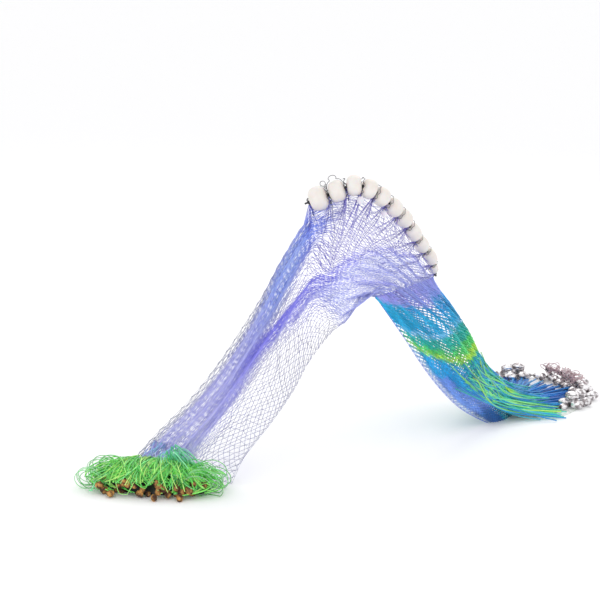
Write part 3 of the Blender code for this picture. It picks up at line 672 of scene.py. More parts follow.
def net_noise(strand, step, seed, size):
    """Small smooth wander of the knots: sines of strand and step with seeded phases."""
    phase = np.random.default_rng(seed).uniform(0, 2 * math.pi, 4)
    slow = np.sin(0.31 * strand + 0.17 * step + phase[0]) + np.sin(0.83 * strand - 0.41 * step + phase[1])
    quick = np.sin(1.7 * step + 0.9 * strand + phase[2]) * np.sin(0.23 * step + phase[3])
    return size * (slow + 0.8 * quick) / 2.8


PANEL_GREY = linear("#A2A0C4")
EDGE_GREY = linear("#A6A8BE")
ROYAL_BLUE = linear("#748CFA")
CORNFLOWER = linear("#A4B8FF")
PERIWINKLE = linear("#BCC2FF")
LILAC = linear("#CACAFF")
VIOLET_BLUE = linear("#B4B4FF")
# Violet of the painted shade in the lilac web's creases and folds
CREASE_SHADE_VIOLET = linear("#7C76F8")
FAN_VIOLET = linear("#908AD8")
DEEP_VIOLET = linear("#6258C0")
# Dyes of both bands from the foot to the crest: row, then red, green and blue
FAR_BAND_DYES = ((0, *LILAC), (10, *LILAC), (17, *PERIWINKLE), (22, *CORNFLOWER), (26, *CORNFLOWER),
                 (28.5, *ROYAL_BLUE), (30.5, *CORNFLOWER), (34, *PERIWINKLE), (50, *PERIWINKLE))
NEAR_BAND_DYES = ((0, *LILAC), (6, *LILAC), (12, *VIOLET_BLUE), (20, *VIOLET_BLUE), (24, *VIOLET_BLUE),
                  (30, *PERIWINKLE), (38, *PERIWINKLE), (50, *PERIWINKLE))


def lilac_crowding(row, share):
    """The strands crowd into the two gathered bands, and spread in the open panel and the fan."""
    left, right = lilac_bands(row, share, 0.16)
    fan = window(row, 29.5, 99, 8)
    return 0.62 + 0.10 * fan + 3.4 * left * (1 - 0.8 * fan) + (4.2 - 3.3 * fan) * right


def toward_lashings(row, share, pull=0.85, depth=0.26):
    """Under the crest every knot is drawn along the line to its nearest lashing, less with depth."""
    spacing = (LILAC_ROWS - CREST_ROW) / len(FLOATS)
    place = (row - CREST_ROW) / spacing
    nearest = np.round(place)
    grip = pull * np.clip(1 - share / depth, 0, 1) ** 1.6 * (row > CREST_ROW - spacing / 2)
    sag = 0.012 * np.sin(math.pi * np.clip(place, 0, None)) ** 2 * np.clip(1 - share / depth, 0, 1)
    return row - (place - nearest) * spacing * grip, share + sag * (row > CREST_ROW)


# The dye's strength wanders from strand to strand, partly as random tone and partly as painted highlight and
# painted violet shade: how far the red, green and blue follow it
STRAND_TONE_AND_SHADE_SHARES = np.array((1.0, 1.0, 0.3))


def lilac_dye(row, share, strand, step):
    """Grey in the open panel, violet in the fan, each band in its own dyes, with painted shade along its
    creases and folds and a strand-to-strand tone that is partly painted highlight and shade.
    """
    left, right = lilac_bands(row, share, 0.18)
    colour = np.broadcast_to(PANEL_GREY, (*row.shape, 3))
    colour = blend(colour, EDGE_GREY, window(share, -1, 0.07, 0.06) * window(row, -9, 26, 4))
    colour = blend(colour, FAN_VIOLET, window(row, 24, 70, 8) * window(share, -1, 0.8, 0.3))
    colour = blend(colour, DEEP_VIOLET, window(row, 28, 70, 1) * np.clip(1 - share / 0.16, 0, 1) ** 1.3)
    colour = blend(colour, smooth_table(FAR_BAND_DYES, row), left * window(row, -9, 30, 4))
    colour = blend(colour, smooth_table(NEAR_BAND_DYES, row), right)
    # Painted shade: strands along the near band's crease, and along two folds higher up, are blended towards
    # violet
    edge = smooth_table(BANDS, row)[..., 2]
    crease_shade = window(share, edge - 0.03, edge + 0.09, 0.08) * window(row, 14, 36, 6)
    colour = blend(colour, CREASE_SHADE_VIOLET, 0.65 * crease_shade)
    fold = 0.40 * window(share, edge - 0.02, edge + 0.06, 0.06) * window(row, 34, 47, 6)
    fold = fold + 0.40 * window(share, 0.605, 0.655, 0.05) * window(row, 29, 46, 5)
    colour = blend(colour, CREASE_SHADE_VIOLET, fold)
    # Deeper in the bands, where lighter strands stand for painted highlights and darker, bluer strands for
    # painted shade between the threads
    depth = 0.20 + 0.08 * np.maximum(left, right)
    streak = depth * np.sin(strand * 2.4 + 0.02 * step) + net_noise(strand, step, 5, 0.20)
    return np.clip(colour * (1 + streak[..., None] * STRAND_TONE_AND_SHADE_SHARES), 0, 1)


def web_strands(surface, places, strands, crowding, dye, radius, layer, warp=None, seed=1, wander=0.45):
    """A layer of diamond netting: zigzag strands knotted to their neighbours, with their radii and dyes."""
    rows = len(places)
    last_row = places[-1]
    shares = crowded_shares(places, strands, crowding)
    row, share, column = zigzags(places, shares, strands)
    step = np.arange(rows)[None] + 0 * column
    spread = np.gradient(shares, axis=1)[np.arange(rows)[None], column]
    inner = window(share, 0.02, 0.98, 0.03)
    share = share + net_noise(column, step, seed, wander) * spread * inner
    row = row + net_noise(column, step, seed + 1, 0.35) * (last_row / rows) * inner
    if warp:
        row, share = warp(row, share)
    row = np.clip(row, 0, last_row)
    share = np.clip(share, 0, 1)
    paths = surface(row, share, layer + net_noise(column, step, seed + 2, 1.0 * MM) * inner)
    return paths, radius(row, share), dye(row, share, column, step)


def add_web(name, material, *layers):
    """One piece out of the strands of every layer of a folded web."""
    paths, radii, dyes = (np.concatenate(parts) for parts in zip(*layers))
    return tubes(name, paths, radii, 4, material, dyes)


def even_rows(base, last_row, mesh):
    """Rows that lie about half a mesh apart along the middle of a web."""
    fine = np.linspace(0, last_row, 400)
    steps = np.linalg.norm(np.diff(base(fine, 0 * fine + 0.35), axis=0), axis=1)
    total = np.r_[0, np.cumsum(steps)]
    count = int(round(total[-1] / (mesh / 2))) + 1
    return np.interp(np.linspace(0, total[-1], count), total, fine)


# Dyed bands of the second web: colour, then the row of its upper and of its lower edge at six shares
BAND_SHARES = (0.0, 0.35, 0.5, 0.7, 0.85, 1.0)
DYED_BANDS = (
    # dye       upper edge                       lower edge                       softness
    ("#0CB0E2", (-9, -9, -9, -9, -9, -9), (40, 40, 40, 40, 40, 40), 0.5),
    ("#1CA0E6", (1.5, 2, 3, 2, 30, 30), (2.6, 3, 3.8, 2.8, 30, 30), 1.2),
    ("#6CC4F0", (5.2, 4.9, 5.8, 6.4, 5.4, 3.8), (6, 5.5, 6.3, 7.2, 6.1, 4.3), 0.5),
    ("#A8A4FA", (-9, -9, -9, -9, -9, -9), (1.2, 1.6, 2.5, 1.9, 0.8, -0.4), 0.9),
    ("#14B8AE", (6, 5.5, 6.3, 7.2, 6.2, 4.3), (13, 11.7, 12.4, 12, 9.6, 7), 0.5),
    ("#4CD272", (8, 7.3, 8.3, 9, 7.6, 5.3), (12.4, 11.1, 11.8, 11.6, 9.2, 6.8), 0.6),
    ("#B0E648", (9.8, 9, 10.1, 10.4, 8.4, 6.1), (11.8, 10.4, 11.2, 11.1, 8.8, 6.6), 0.7),
    ("#10BCCC", (12.6, 11, 11.8, 14, 30, 30), (40, 40, 40, 40, 30, 30), 1.5),
    ("#16A8E6", (30, 30, 30, 11.6, 9.2, 7), (30, 30, 30, 15, 40, 40), 1.5),
    ("#729EF2", (30, 30, 30, 22, 12.6, 12), (30, 30, 30, 22, 21, 21), 1.2),
)
LIME = linear("#B4DE3C")
SEA_GREEN = linear("#36CC9C")
# Navy of the painted shade low on the banded web's near side
UNDERSIDE_SHADE_NAVY = linear("#1C3C96")
FROST = linear("#D6E2FA")


def banded_dye(row, share, strand, step):
    """Each band is laid over the ones before it, between edges that run smoothly across the web."""
    colour = np.zeros((*row.shape, 3))
    ragged = row + net_noise(strand, step, 9, 0.35) + 0.25 * np.sin(2.9 * strand)
    for code, upper, lower, soft in DYED_BANDS:
        top = np.interp(share, BAND_SHARES, upper)
        bottom = np.interp(share, BAND_SHARES, lower)
        colour = blend(colour, linear(code), window(ragged, top, bottom, soft) * (bottom > top))
    chance = np.random.default_rng(31).random(int(strand.max()) + 2)[strand]
    low = window(row, 14.0, 40, 3)
    colour = blend(colour, SEA_GREEN, low * window(share, 0.30, 0.70, 0.12) * (chance > 0.62) * 0.85)
    colour = blend(colour, LIME, low * window(share, 0.40, 0.60, 0.08) * (chance < 0.24) * 0.9)
    # Painted shade: most strands in the lowest rows on the near side, under the green strands, are darkened
    # towards navy
    shaded = window(row, 20.5, 40, 3) * window(share, 0.58, 2, 0.1)
    colour = blend(colour, UNDERSIDE_SHADE_NAVY, shaded * (chance > 0.25) * 0.8)
    colour = blend(colour, FROST, window(share, 0.95, 2, 0.05) * window(row, 7, 40, 2) * 0.6)
    streak = 1 + 0.30 * (chance - 0.5) + 0.15 * np.sin(strand * 2.4 + 0.5 * step)
    return np.clip(colour * (streak + net_noise(strand, step, 6, 0.24))[..., None], 0, 1)


def banded_crowding(row, share):
    """Fairly even, looser at the near edge and crowding towards the floor."""
    return 1.0 + 0.12 * np.sin(9 * share + 0.4 * row) - 0.50 * window(share, 0.95, 2, 0.04)


# ---------------------------------------------------------------- settings


def length_setting(name, description, default, low, high):
    """A length setting; the numbers are mm."""
    return bpy.props.FloatProperty(name=name, description=description, default=default * MM, min=low * MM,
                                   max=high * MM, unit="LENGTH")


def count_setting(name, description, default, low, high):
    """A setting that counts strands or faces."""
    return bpy.props.IntProperty(name=name, description=description, default=default, min=low, max=high)


def colour_setting(name, description, default):
    """A colour setting, as an sRGB hex code."""
    return bpy.props.StringProperty(name=name, description=description, default=default)


class NetSettings(bpy.types.PropertyGroup):
    """Sizes of the netting."""

    twine: length_setting("Twine", "Thickness of the lilac web's twine", 1.45, 0.3, 3)
    banded_twine: length_setting("Banded twine", "Thickness of the banded web's twine", 3.2, 0.3, 4)
    mesh: length_setting("Mesh", "Length of the lilac web's diamonds along it", 25, 8, 60)
    banded_mesh: length_setting("Banded mesh", "Length of the banded web's diamonds", 14, 6, 60)
    strands: count_setting("Strands", "Zigzag strands across the lilac web", 146, 20, 180)
    gathered_strands: count_setting("Gathered strands", "Strands under its two bands", 98, 20, 180)
    banded_strands: count_setting("Banded strands", "Strands across the banded web", 66, 20, 180)
    inner_strands: count_setting("Inner strands", "Strands of its inner layer", 60, 20, 180)


class GearSettings(bpy.types.PropertyGroup):
    """Sizes and colours of the floats, and the loose strands of the green foot."""

    foam: colour_setting("Foam", "Colour of the floats", "#ECE7E3")
    foam_shade: colour_setting("Foam shade", "Warmer colour in the floats' foam", "#E8E1DA")
    float_sides: count_setting("Float sides", "Faces round each float", 40, 12, 96)
    float_growth: length_setting("Float growth", "Rounded ends past each float's barrel", 7, 0, 8)
    tangle_strands: count_setting("Foot strands", "Loose strands of the green foot", 420, 50, 900)


class PieceOperator:
    """What every piece's operator shares."""

    bl_options = {"REGISTER", "UNDO"}

    def execute(self, context):
        self.build(context.scene.net_settings, context.scene.gear_settings)
        return {"FINISHED"}


class AddLilacWeb(PieceOperator, bpy.types.Operator):
    """Knot the lilac and violet-blue web, crowded into its two bands and gathered at every lashing"""

    bl_idname = "net.add_lilac_web"
    bl_label = "Lilac web"

    def build(self, net, gear):
        twine = nylon_twine("Lilac nylon twine", None, 9 * MM)
        places = even_rows(lilac_base, LILAC_ROWS, net.mesh)

        def radius(row, share):
            """Thinner in the fan and in both bands, where more strands lie side by side."""
            left, right = lilac_bands(row, share, 0.14)
            fan = window(row, 30, 99, 10)
            return net.twine / 2 * (0.80 - 0.20 * fan - 0.10 * (1 - fan) * np.maximum(left, right))

        def gathered(row, share):
            """The second layer lies in the bands, between them near the crossing, and under the crest."""
            left, right = lilac_bands(row, share, 0.14)
            fan = window(row, 30, 99, 10)
            between = 0.22 * window(row, 20, 33, 4) * window(share, 0.22, 0.48, 0.12)
            crest = 0.35 * fan * window(share, -1, 0.6, 0.3)
            return 0.05 + between + crest + left + (1.1 - 0.4 * fan) * right

        web = add_web("lilac_web", twine, *(
            web_strands(lilac_surface, places, strands, crowding, lilac_dye, radius, lift, toward_lashings,
                        seed, wander)
            for strands, crowding, lift, seed, wander in (
                (net.strands, lilac_crowding, 0.0, 1, 0.45),
                (net.gathered_strands, gathered, 4 * MM, 12, 1.5))))
        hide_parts("netting_lilac")
        self.selvedges(net, twine)

    def selvedges(self, net, twine):
        """Straight twine along both edges: loose runs on the leg's far edge, and two on the near one."""
        share = np.array(((0.0,), (0.014,), (0.034,), (0.058,), (0.984,), (1.0,)))
        last = np.where(share < 0.5, CREST_ROW - 0.6, LILAC_ROWS)
        t = np.linspace(0, 1, 110)[None]
        row = last * t
        sway = 0.006 * np.sin(7 * t + 40 * share) * window(share, 0.01, 0.5, 0.01)
        paths = lilac_surface(row, np.clip(share + sway, 0, 1), 1 * MM)
        dye = np.broadcast_to(EDGE_GREY * 0.8, paths.shape)
        edge = tubes("selvedge_twine", paths, net.twine / 2 * 0.5, 4, twine, dye)


class AddBandedWeb(PieceOperator, bpy.types.Operator):
    """Knot the web that is dyed in bands, hung as half a tube from the lilac web's edge"""

    bl_idname = "net.add_banded_web"
    bl_label = "Banded web"

    def build(self, net, gear):
        twine = nylon_twine("Band-dyed nylon twine", None, 8 * MM, sheen=0.08)

        def radius(row, share):
            """Thinner in the open stripe under the seam, along the near edge and at the rim."""
            sparse = 0.10 * window(row, 1.0, 4.6, 1.5) + 0.22 * window(row, 4.6, 6.4, 0.9)
            sparse = sparse - 0.16 * window(row, 6.9, 18, 0.8)
            sparse = sparse + 0.45 * window(share, 0.955, 2, 0.03) * window(row, 7, 40, 3)
            sparse = sparse + 0.22 * window(row, 21.5, 99, 1)
            return net.banded_twine / 2 * (1 - sparse)

        places = even_rows(banded_base, BANDED_ROWS, net.banded_mesh)
        web = add_web("banded_web", twine, *(
            web_strands(banded_surface, places, strands, banded_crowding, banded_dye, radius, lift, seed=seed)
            for strands, lift, seed in ((net.banded_strands, 0.0, 4), (net.inner_strands, -3 * MM, 14))))
        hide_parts("netting_banded")
        share = np.array(((0.988,), (1.0,)))
        rim = banded_surface(np.linspace(1.0, BANDED_ROWS, 90) + 0 * share, share, 1 * MM)
        dye = np.broadcast_to(linear("#5C74DC"), rim.shape)
        tubes("rim_twine", rim, net.twine / 2 * 0.7, 4, twine, dye)
        self.lip(net, twine)

    def lip(self, net, twine):
        """The lilac web's last strands flow over the seam and down the banded web."""
        chance = np.random.default_rng(29)
        count = 84
        share = np.sort(chance.uniform(0.01, 0.99, count))[:, None]
        lead_in = 0.3 + 5 * np.clip((share - 0.25) / 0.4, 0, 1)
        t = np.linspace(0, 1, 9)[None]
        raised = column(chance, 0.8, 3.4, count) * MM
        slant = 0.03 * (1 - t) * np.sin(9 * share)
        before = lilac_surface(LILAC_ROWS - lead_in * (1 - t), share + slant, raised)
        around = np.arccos(1 - 2 * share) / math.pi
        depth = np.interp(around, BAND_SHARES, (0.8, 1.4, 2.2, 1.6, 0.8, 0.5))
        depth = depth * column(chance, 0.6, 1.3, count)
        after = banded_surface(0.4 + depth * t, around + 0 * t, raised * (1 - 0.6 * t))
        paths = settled(np.concatenate([before, after], axis=1), 2)
        fade = np.linspace(0, 1, paths.shape[1])[None] ** 2 + 0 * share
        dye = blend(np.broadcast_to(PERIWINKLE, paths.shape), linear("#7CA4F4"), fade)
        dye = dye * chance.uniform(0.8, 1.15, (count, 1, 1))
        strands = tubes("seam_strands", paths, net.twine / 2 * (0.9 - 0.4 * fade), 4, twine, dye)


class AddFloats(PieceOperator, bpy.types.Operator):
    """Turn the drum floats: barrel sides, rounded rims and a bore for the line"""

    bl_idname = "net.add_floats"
    bl_label = "Drum floats"

    def build(self, net, gear):
        foam = float_foam("Moulded float foam", gear.foam, gear.foam_shade)
        bore = LINE_RADIUS + BORE_PLAY
        turn = np.linspace(-math.pi / 2, math.pi / 2, 25)
        middles, along = float_frames()
        for number, (row, middle, way) in enumerate(zip(FLOATS, middles, along), start=1):
            across, length = row[3], row[4] + gear.float_growth * (1.0 if number < 6 else 0.25)
            side = np.sign(np.sin(turn)) * np.abs(np.sin(turn)) ** 0.85 * length / 2
            bulge = bore * 2 + (across / 2 - bore * 2) * np.abs(np.cos(turn)) ** 0.62
            inner = np.column_stack([np.full(5, bore), np.linspace(length / 2, -length / 2, 5) * 0.94])
            profile = np.vstack([np.column_stack([bulge, side]), inner])
            points = turned_points(profile, gear.float_sides, middle - PLAN_MIDDLE, way)
            piece = grid_piece(f"drum_float_{number:02d}", points, foam, capped=False)
            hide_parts(f"float_{number:02d}")


class AddLines(PieceOperator, bpy.types.Operator):
    """Lay the float line, the lead line and the two twine loops above the first floats"""

    bl_idname = "net.add_lines"
    bl_label = "Lines and loops"

    def build(self, net, gear):
        rope = nylon_twine("Braided line", "#2A2630", 3 * MM, 0.6)
        wire = nylon_twine("Tarred loop twine", "#4A4650", 3 * MM, 0.35)
        middles, along = float_frames()
        places, heading = lashing_places()
        head = threaded_route(middles, along, [row[4] for row in FLOATS])
        foot = threaded_route(*lead_frames(), [LEAD_LENGTH] * len(LEADS))
        short = standing(SHORT_LOOP, places[1], heading[1])
        tall = standing(TALL_LOOP, middles[1], along[1])
        for name, node, slot, material, stops, finer, radius, sides in (
                ("head_line", "float_line", "braided_line", rope, head, 10, LINE_RADIUS, 10),
                ("foot_line", "lead_line", "braided_line", rope, foot, 8, LEAD_LINE_RADIUS, 8),
                ("short_loop", "loop_short", "tarred_twine", wire, short, 6, 0.65 * MM, 8),
                ("tall_loop", "loop_tall", "tarred_twine", wire, tall, 6, 0.65 * MM, 8)):
            line = tubes(name, smoothed(stops[None], finer) - PLAN_MIDDLE, radius, sides, material)
            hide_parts(node)


def coil(middle, way, down, turns, count, half, radius):
    """Twine wound round way: turns of a circle that starts at down, from half before to half past middle."""
    turn = np.linspace(0, turns * 2 * math.pi, count)[:, None]
    circle = down * np.cos(turn) + np.cross(way, down) * np.sin(turn)
    return middle + way * np.linspace(-half, half, count)[:, None] + circle * radius


class AddLashings(PieceOperator, bpy.types.Operator):
    """Wind each lashing round the line, and draw its gathers down into the lilac web"""

    bl_idname = "net.add_lashings"
    bl_label = "Lashings and gathers"

    def build(self, net, gear):
        tarred = nylon_twine("Tarred lashing twine", "#1E1A24", 3 * MM, 0.45)
        places, heading = lashing_places()
        across, reach = crest_drops()
        ring = LINE_RADIUS + 1.0 * MM
        # Radius of the winding, its tail, the knot, the ear over the line and the collar round the float
        thickness = np.array(((0.8,), (0.8,), (0.8,), (0.65,), (0.55,))) * MM
        for number, (place, way, down, drop) in enumerate(zip(places, heading, across, reach[:, 0]), start=1):
            side = np.cross(way, down)
            wound = coil(place, way, down, 5, 61, 2.6 * MM, ring)
            t = np.linspace(0, 1, 30)[:, None]
            sway = 1.3 * MM * np.sin(7 * math.pi * t)
            tail = place + down * (ring + (drop - ring) * t) + side * sway + way * 2.6 * MM * (1 - t)
            knot = coil(place + down * (ring + 2.5 * MM), way, down, 3, 40, 1.6 * MM, 1.7 * MM)
            ear_turn = -0.5 + (math.pi + 1.0) * t
            ear = (place - down * (ring + (1.5 + 4.5 * np.sin(ear_turn)) * MM)
                   + way * np.cos(ear_turn) * 3.6 * MM)
            lace = np.linspace(0, 2 * math.pi, 60)[:, None]
            wide = (drop - LACE_INSET) * (1.0 if 1 < number < len(places) else 0.35)
            circle = down * np.cos(lace) + side * np.sin(lace)
            collar = place + way * 2.2 * MM * np.sin(7 * lace) + circle * (wide + 0.8 * MM * np.sin(5 * lace))
            paths = np.stack([resampled(path, 60) for path in (wound, tail, knot, ear, collar)])
            lashing = tubes(f"lashing_twine_{number:02d}", paths - PLAN_MIDDLE, thickness, 6, tarred)
            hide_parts(f"lashing_{number:02d}")
        self.gather(net, places + across * (LINE_RADIUS + 1.5 * MM) - PLAN_MIDDLE)

    def gather(self, net, tops):
        """Strands from every lashing down the web, each on its own small change of row."""
        twine = nylon_twine("Gathered lilac twine", None, 6 * MM)
        chance = np.random.default_rng(17)
        fan = np.tile(np.linspace(-0.75, 0.75, 11), len(tops))[:, None]
        count = len(fan)
        number = np.repeat(np.arange(len(tops)), 11)[:, None]
        spacing = (LILAC_ROWS - CREST_ROW) / len(FLOATS)
        fan = fan + column(chance, -0.06, 0.06, count)
        long = chance.random((count, 1)) < 0.36
        end = column(chance, 0.08, 0.26, count) * np.where(number < 3, 0.7, 1.0)
        end = np.where(long, column(chance, 0.26, 0.50, count), end)
        slant = column(chance, 5.0, 13.0, count)
        t = np.linspace(0, 1, 26)[None]
        share = end * t
        row = CREST_ROW + spacing * (number + fan * np.clip(t * 1.1, 0, 1) ** 0.8)
        row = row - slant * share ** 1.2 * np.clip(number / 3, 0, 1)
        row = np.clip(row + 0.15 * np.sin(9 * t + number * 1.7 + fan * 5) * t, 0, LILAC_ROWS)
        rise = np.clip(1 - t / 0.40, 0, 1) ** 1.4
        paths = blend(lilac_surface(row, share, 1.2 * MM), tops[number], rise)
        shade = column(chance, 0.7, 1.15, count)[..., None]
        dye = blend(DEEP_VIOLET, FAN_VIOLET, np.clip(t / 0.5, 0, 1) + 0 * row) * shade
        strands = tubes("gathered_twine", paths, net.twine / 2 * (0.95 - 0.45 * t), 4, twine, dye)


class AddSpindles(PieceOperator, bpy.types.Operator):
    """Turn the two small spindle floats, pale and a little translucent"""

    bl_idname = "net.add_spindles"
    bl_label = "Spindle floats"

    def build(self, net, gear):
        foam = float_foam("Pale spindle foam", "#EDEAF4", "#D8D4E6")
        places, heading = lashing_places()
        across, reach = crest_drops()
        for number, (lashing, width, length, lean, away) in enumerate(SPINDLES, start=1):
            k = lashing - 1
            front = np.cross(across[k], heading[k])
            tip = places[k] + across[k] * (reach[k] - SPINDLE_RISE) + front * SPINDLE_HANG
            way = unit(across[k] + heading[k] * lean + front * away)
            t = np.linspace(0.02, 0.98, 24)
            profile = np.column_stack([width / 2 * np.sin(math.pi * t) ** 0.8, (t - 0.5) * length])
            points = turned_points(profile, 24, tip + way * length / 2 - PLAN_MIDDLE, way)
            piece = grid_piece(f"spindle_{number}", points, foam)
            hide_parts(f"spindle_float_{number}")


# Painted shade at both ends of every sinker, where it meets its neighbours
LEAD_END_SHADE = linear("#6A585A")


def rolled_lead(middle, way, roll, length, across):
    """A rolled sinker: a thick ring with a slit along it, narrower towards both ends, where its outside is
    darkened with painted shade.
    """
    first, second = square_axes(way)
    slit = 0.07
    outer = np.linspace(slit, 2 * math.pi - slit, 22)
    inner = outer[::-1][::2]
    radius = np.r_[np.full(22, across / 2), np.full(len(inner), across * 0.16)]
    angle = np.r_[outer, inner] + roll
    t = np.sin(np.linspace(-1, 1, 13) * math.pi / 2)
    narrow = np.sqrt(1 - 0.80 * t ** 2)
    ring = (first * np.cos(angle)[:, None] + second * np.sin(angle)[:, None]) * radius[:, None]
    points = middle + ring[None] * narrow[:, None, None] + way * (t * length / 2)[:, None, None]
    # Painted shade: the outside darkens towards both ends
    end_shade = 0.9 * np.abs(t)[:, None] ** 9 * (np.arange(len(angle)) < len(outer))
    return points, blend(np.ones(points.shape), LEAD_END_SHADE, end_shade)


class AddLeads(PieceOperator, bpy.types.Operator):
    """Roll the sinkers onto the foot line, and heap the rest of them over it"""

    bl_idname = "net.add_leads"
    bl_label = "Sinkers"

    def build(self, net, gear):
        lead = polished_lead("Rubbed lead", "#FEFCFE", "#9A9294")
        middles, ways = lead_frames()
        chance = np.random.default_rng(23)
        for number, (middle, way) in enumerate(zip(middles, ways), start=1):
            roll = chance.uniform(0, 6.3)
            points, dye = rolled_lead(middle - PLAN_MIDDLE, way, roll, LEAD_LENGTH, LEAD_ACROSS)
            piece = grid_piece(f"rolled_lead_{number:02d}", points, lead, dye)
            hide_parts(f"lead_{number:02d}")
        slices = [(place, side, height) for place in HEAP_PLACES for side, height in HEAP_SLICE]
        for number, (place, side, height) in enumerate(slices, start=1):
            place += chance.uniform(-0.25, 0.25)
            low = min(int(place), len(middles) - 1)
            middle = blend(middles[low - 1], middles[low], place - low)
            way = unit(blend(ways[low - 1], ways[low], place - low))
            out = np.array((way[1], -way[0], 0.0))
            spot = middle + out * (side + chance.uniform(-2, 2)) * MM
            spot[2] = (height + chance.uniform(0, 1.5)) * MM
            turn = chance.uniform(0.7, 1.5) if place > 4 else chance.uniform(-0.5, 0.9)
            tip = chance.uniform(-0.20, 0.20) * (height > 12)
            lie = unit(way * math.cos(turn) + out * math.sin(turn) + np.array((0.0, 0.0, tip)))
            roll = chance.uniform(0, 6.3)
            points, dye = rolled_lead(spot - PLAN_MIDDLE, lie, roll, LEAD_LENGTH * chance.uniform(1.0, 1.2),
                                      LEAD_ACROSS * chance.uniform(1.25, 1.45))
            piece = grid_piece(f"heaped_lead_{number:02d}", points, lead, dye)
        self.curls(middles, chance)

    def curls(self, middles, chance):
        """Stray ends that curl over the heap, and pale loops that lie on the floor beside it."""
        wire = nylon_twine("Stray pinkish twine", "#C4A6AC", 3 * MM, 0.35)
        count = 44
        t = np.linspace(0, 1, 40)[None]
        place = chance.uniform(4.5, 9.0, count)
        low = place.astype(int)
        spot = blend(middles[low - 1], middles[low], place - low)[:, None]
        waves = chance.uniform(0, 6.3, (count, 3))[:, :, None]
        size = column(chance, 6, 15, count) * MM
        up = column(chance, 26, 42, count) * MM
        curl = np.stack([size * np.sin(8 * t + waves[:, 0]), size * np.cos(7 * t + waves[:, 1]),
                         up + size * 0.7 * np.sin(9 * t + waves[:, 2])], axis=-1)
        flat = np.array((1.0, 1.0, 0.0))
        stray = tubes("stray_curls", spot * flat + curl - PLAN_MIDDLE, 0.9 * MM, 5, wire)
        pale = nylon_twine("Stray pale twine", "#C9D2C8", 3 * MM, 0.35)
        number = np.arange(5)[:, None]
        turn = 2 * math.pi * t * 0.9 + number
        loops = np.stack([0.49 + 0.018 * number + (0.03 + 0.004 * number) * np.cos(turn),
                          -0.075 + 0.006 * number + 0.014 * np.sin(turn),
                          (0.8 + 0.4 * number) * MM + 0 * t], axis=-1)
        floor = tubes("floor_loops", loops - PLAN_MIDDLE, 0.5 * MM, 5, pale)


def settled(paths, passes=3):
    """Paths with their bends eased: every inner point moves towards the middle of its neighbours."""
    for _ in range(passes):
        paths[:, 1:-1] = (paths[:, :-2] + 2 * paths[:, 1:-1] + paths[:, 2:]) / 4
    return paths


def picked_dyes(chance, dyes, count, faintest):
    """One of the dyes for every strand, each a little fainter or stronger."""
    picked = np.array([linear(code) for code in dyes])[chance.integers(0, len(dyes), count)]
    return (picked * column(chance, faintest, 1.15, count))[:, None]


def fringe_paths(chance, count, shares, first_rows, leave, turns, reach, lift):
    """Strands that run down over the web from their own row, leave it above its rim and settle on the floor.

    Past the row where it leaves, a strand is a cubic: it starts along the web and ends level, along its aim.
    """
    share = np.sort(chance.uniform(*shares, count))[:, None]
    drift = column(chance, -0.14, 0.14, count)
    t = np.linspace(0, 1, 12)[None]
    start = column(chance, *first_rows, count)
    above = column(chance, 0.3, 1.0, count) * lift
    on_web = banded_surface(start + (leave - start) * t, np.clip(share + drift * (1 - t), 0.02, 0.98), above)
    portion = (share - shares[0]) / (shares[1] - shares[0])
    way = math.pi / 2 * (turns[0] + (turns[1] - turns[0]) * portion + column(chance, -0.14, 0.14, count))
    aim = np.stack([np.cos(way), np.sin(way), 0 * way], axis=-1)
    length = reach * column(chance, 0.55, 1.0, count)[..., None]
    tip = banded_surface(np.full_like(share, BANDED_ROWS), share) + aim * length
    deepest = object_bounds()[1][1]
    tip[..., 1] = np.minimum(tip[..., 1], deepest + FRINGE_PAST * np.sin(97 * share))
    tip[..., 2] = column(chance, 1, 9, count) * MM
    s = np.linspace(0.06, 1, 18)[None, :, None]
    leaving = on_web[:, -1:]
    first = leaving + unit(leaving - on_web[:, -2:-1]) * 0.035
    second = tip - aim * length * column(chance, 0.4, 0.8, count)[..., None]
    second[..., 2] += column(chance, 0, 14, count) * MM
    out = (1 - s) ** 3 * leaving + 3 * (1 - s) ** 2 * s * first + 3 * (1 - s) * s ** 2 * second + s ** 3 * tip
    out[..., 1] += column(chance, -1, 1, count) * 0.007 * np.sin(math.pi * 1.5 * s[..., 0])
    return settled(np.concatenate([on_web, out], axis=1))


# Loose twine: from which to which share of the web and row it starts, the row where it leaves the web,
# its aim on the floor at both shares in quarter turns, and how far it reaches and rises, in metres
FRINGES = (
    # piece, solid, seed, strands, radius, then its dyes, then
    # shares, first rows, leaves, turns, reach, rise
    ("blue_twine", "fringe_blue", 41, 110, 0.0021,
     ("#0A70C6", "#1084D6", "#0C5AB4", "#2AA2E2"),
     ((0.02, 0.56), (17.0, 22.0), 22.5, (0.66, -0.14), 0.200, 0.0020)),
    ("green_twine", "fringe_green", 43, 112, 0.0015,
     ("#4CDCB8", "#34BEDA", "#70E8A4", "#BCEE64", "#1C9CE0", "#46D8C6", "#90EA8A", "#24A4E4", "#1690DC"),
     ((0.32, 0.76), (11.0, 20.0), 20.5, (0.42, -0.40), 0.150, 0.0050)),
)


class AddFringes(PieceOperator, bpy.types.Operator):
    """Run the loose blue and green twine down the banded web and out over the floor"""

    bl_idname = "net.add_fringes"
    bl_label = "Loose twine at the weighted foot"

    def build(self, net, gear):
        twine = nylon_twine("Loose dyed twine", None, 6 * MM, 0.35, sheen=0.08)
        for name, node, seed, count, radius, dyes, run in FRINGES:
            chance = np.random.default_rng(seed)
            paths = fringe_paths(chance, count, *run)
            dye = picked_dyes(chance, dyes, count, 0.8)
            paths[..., 2] = np.maximum(paths[..., 2], radius)
            taper = np.linspace(0.75, 1.0, paths.shape[1])[None] * radius
            strands = tubes(name, paths, taper, 5, twine, dye)
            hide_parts(node)


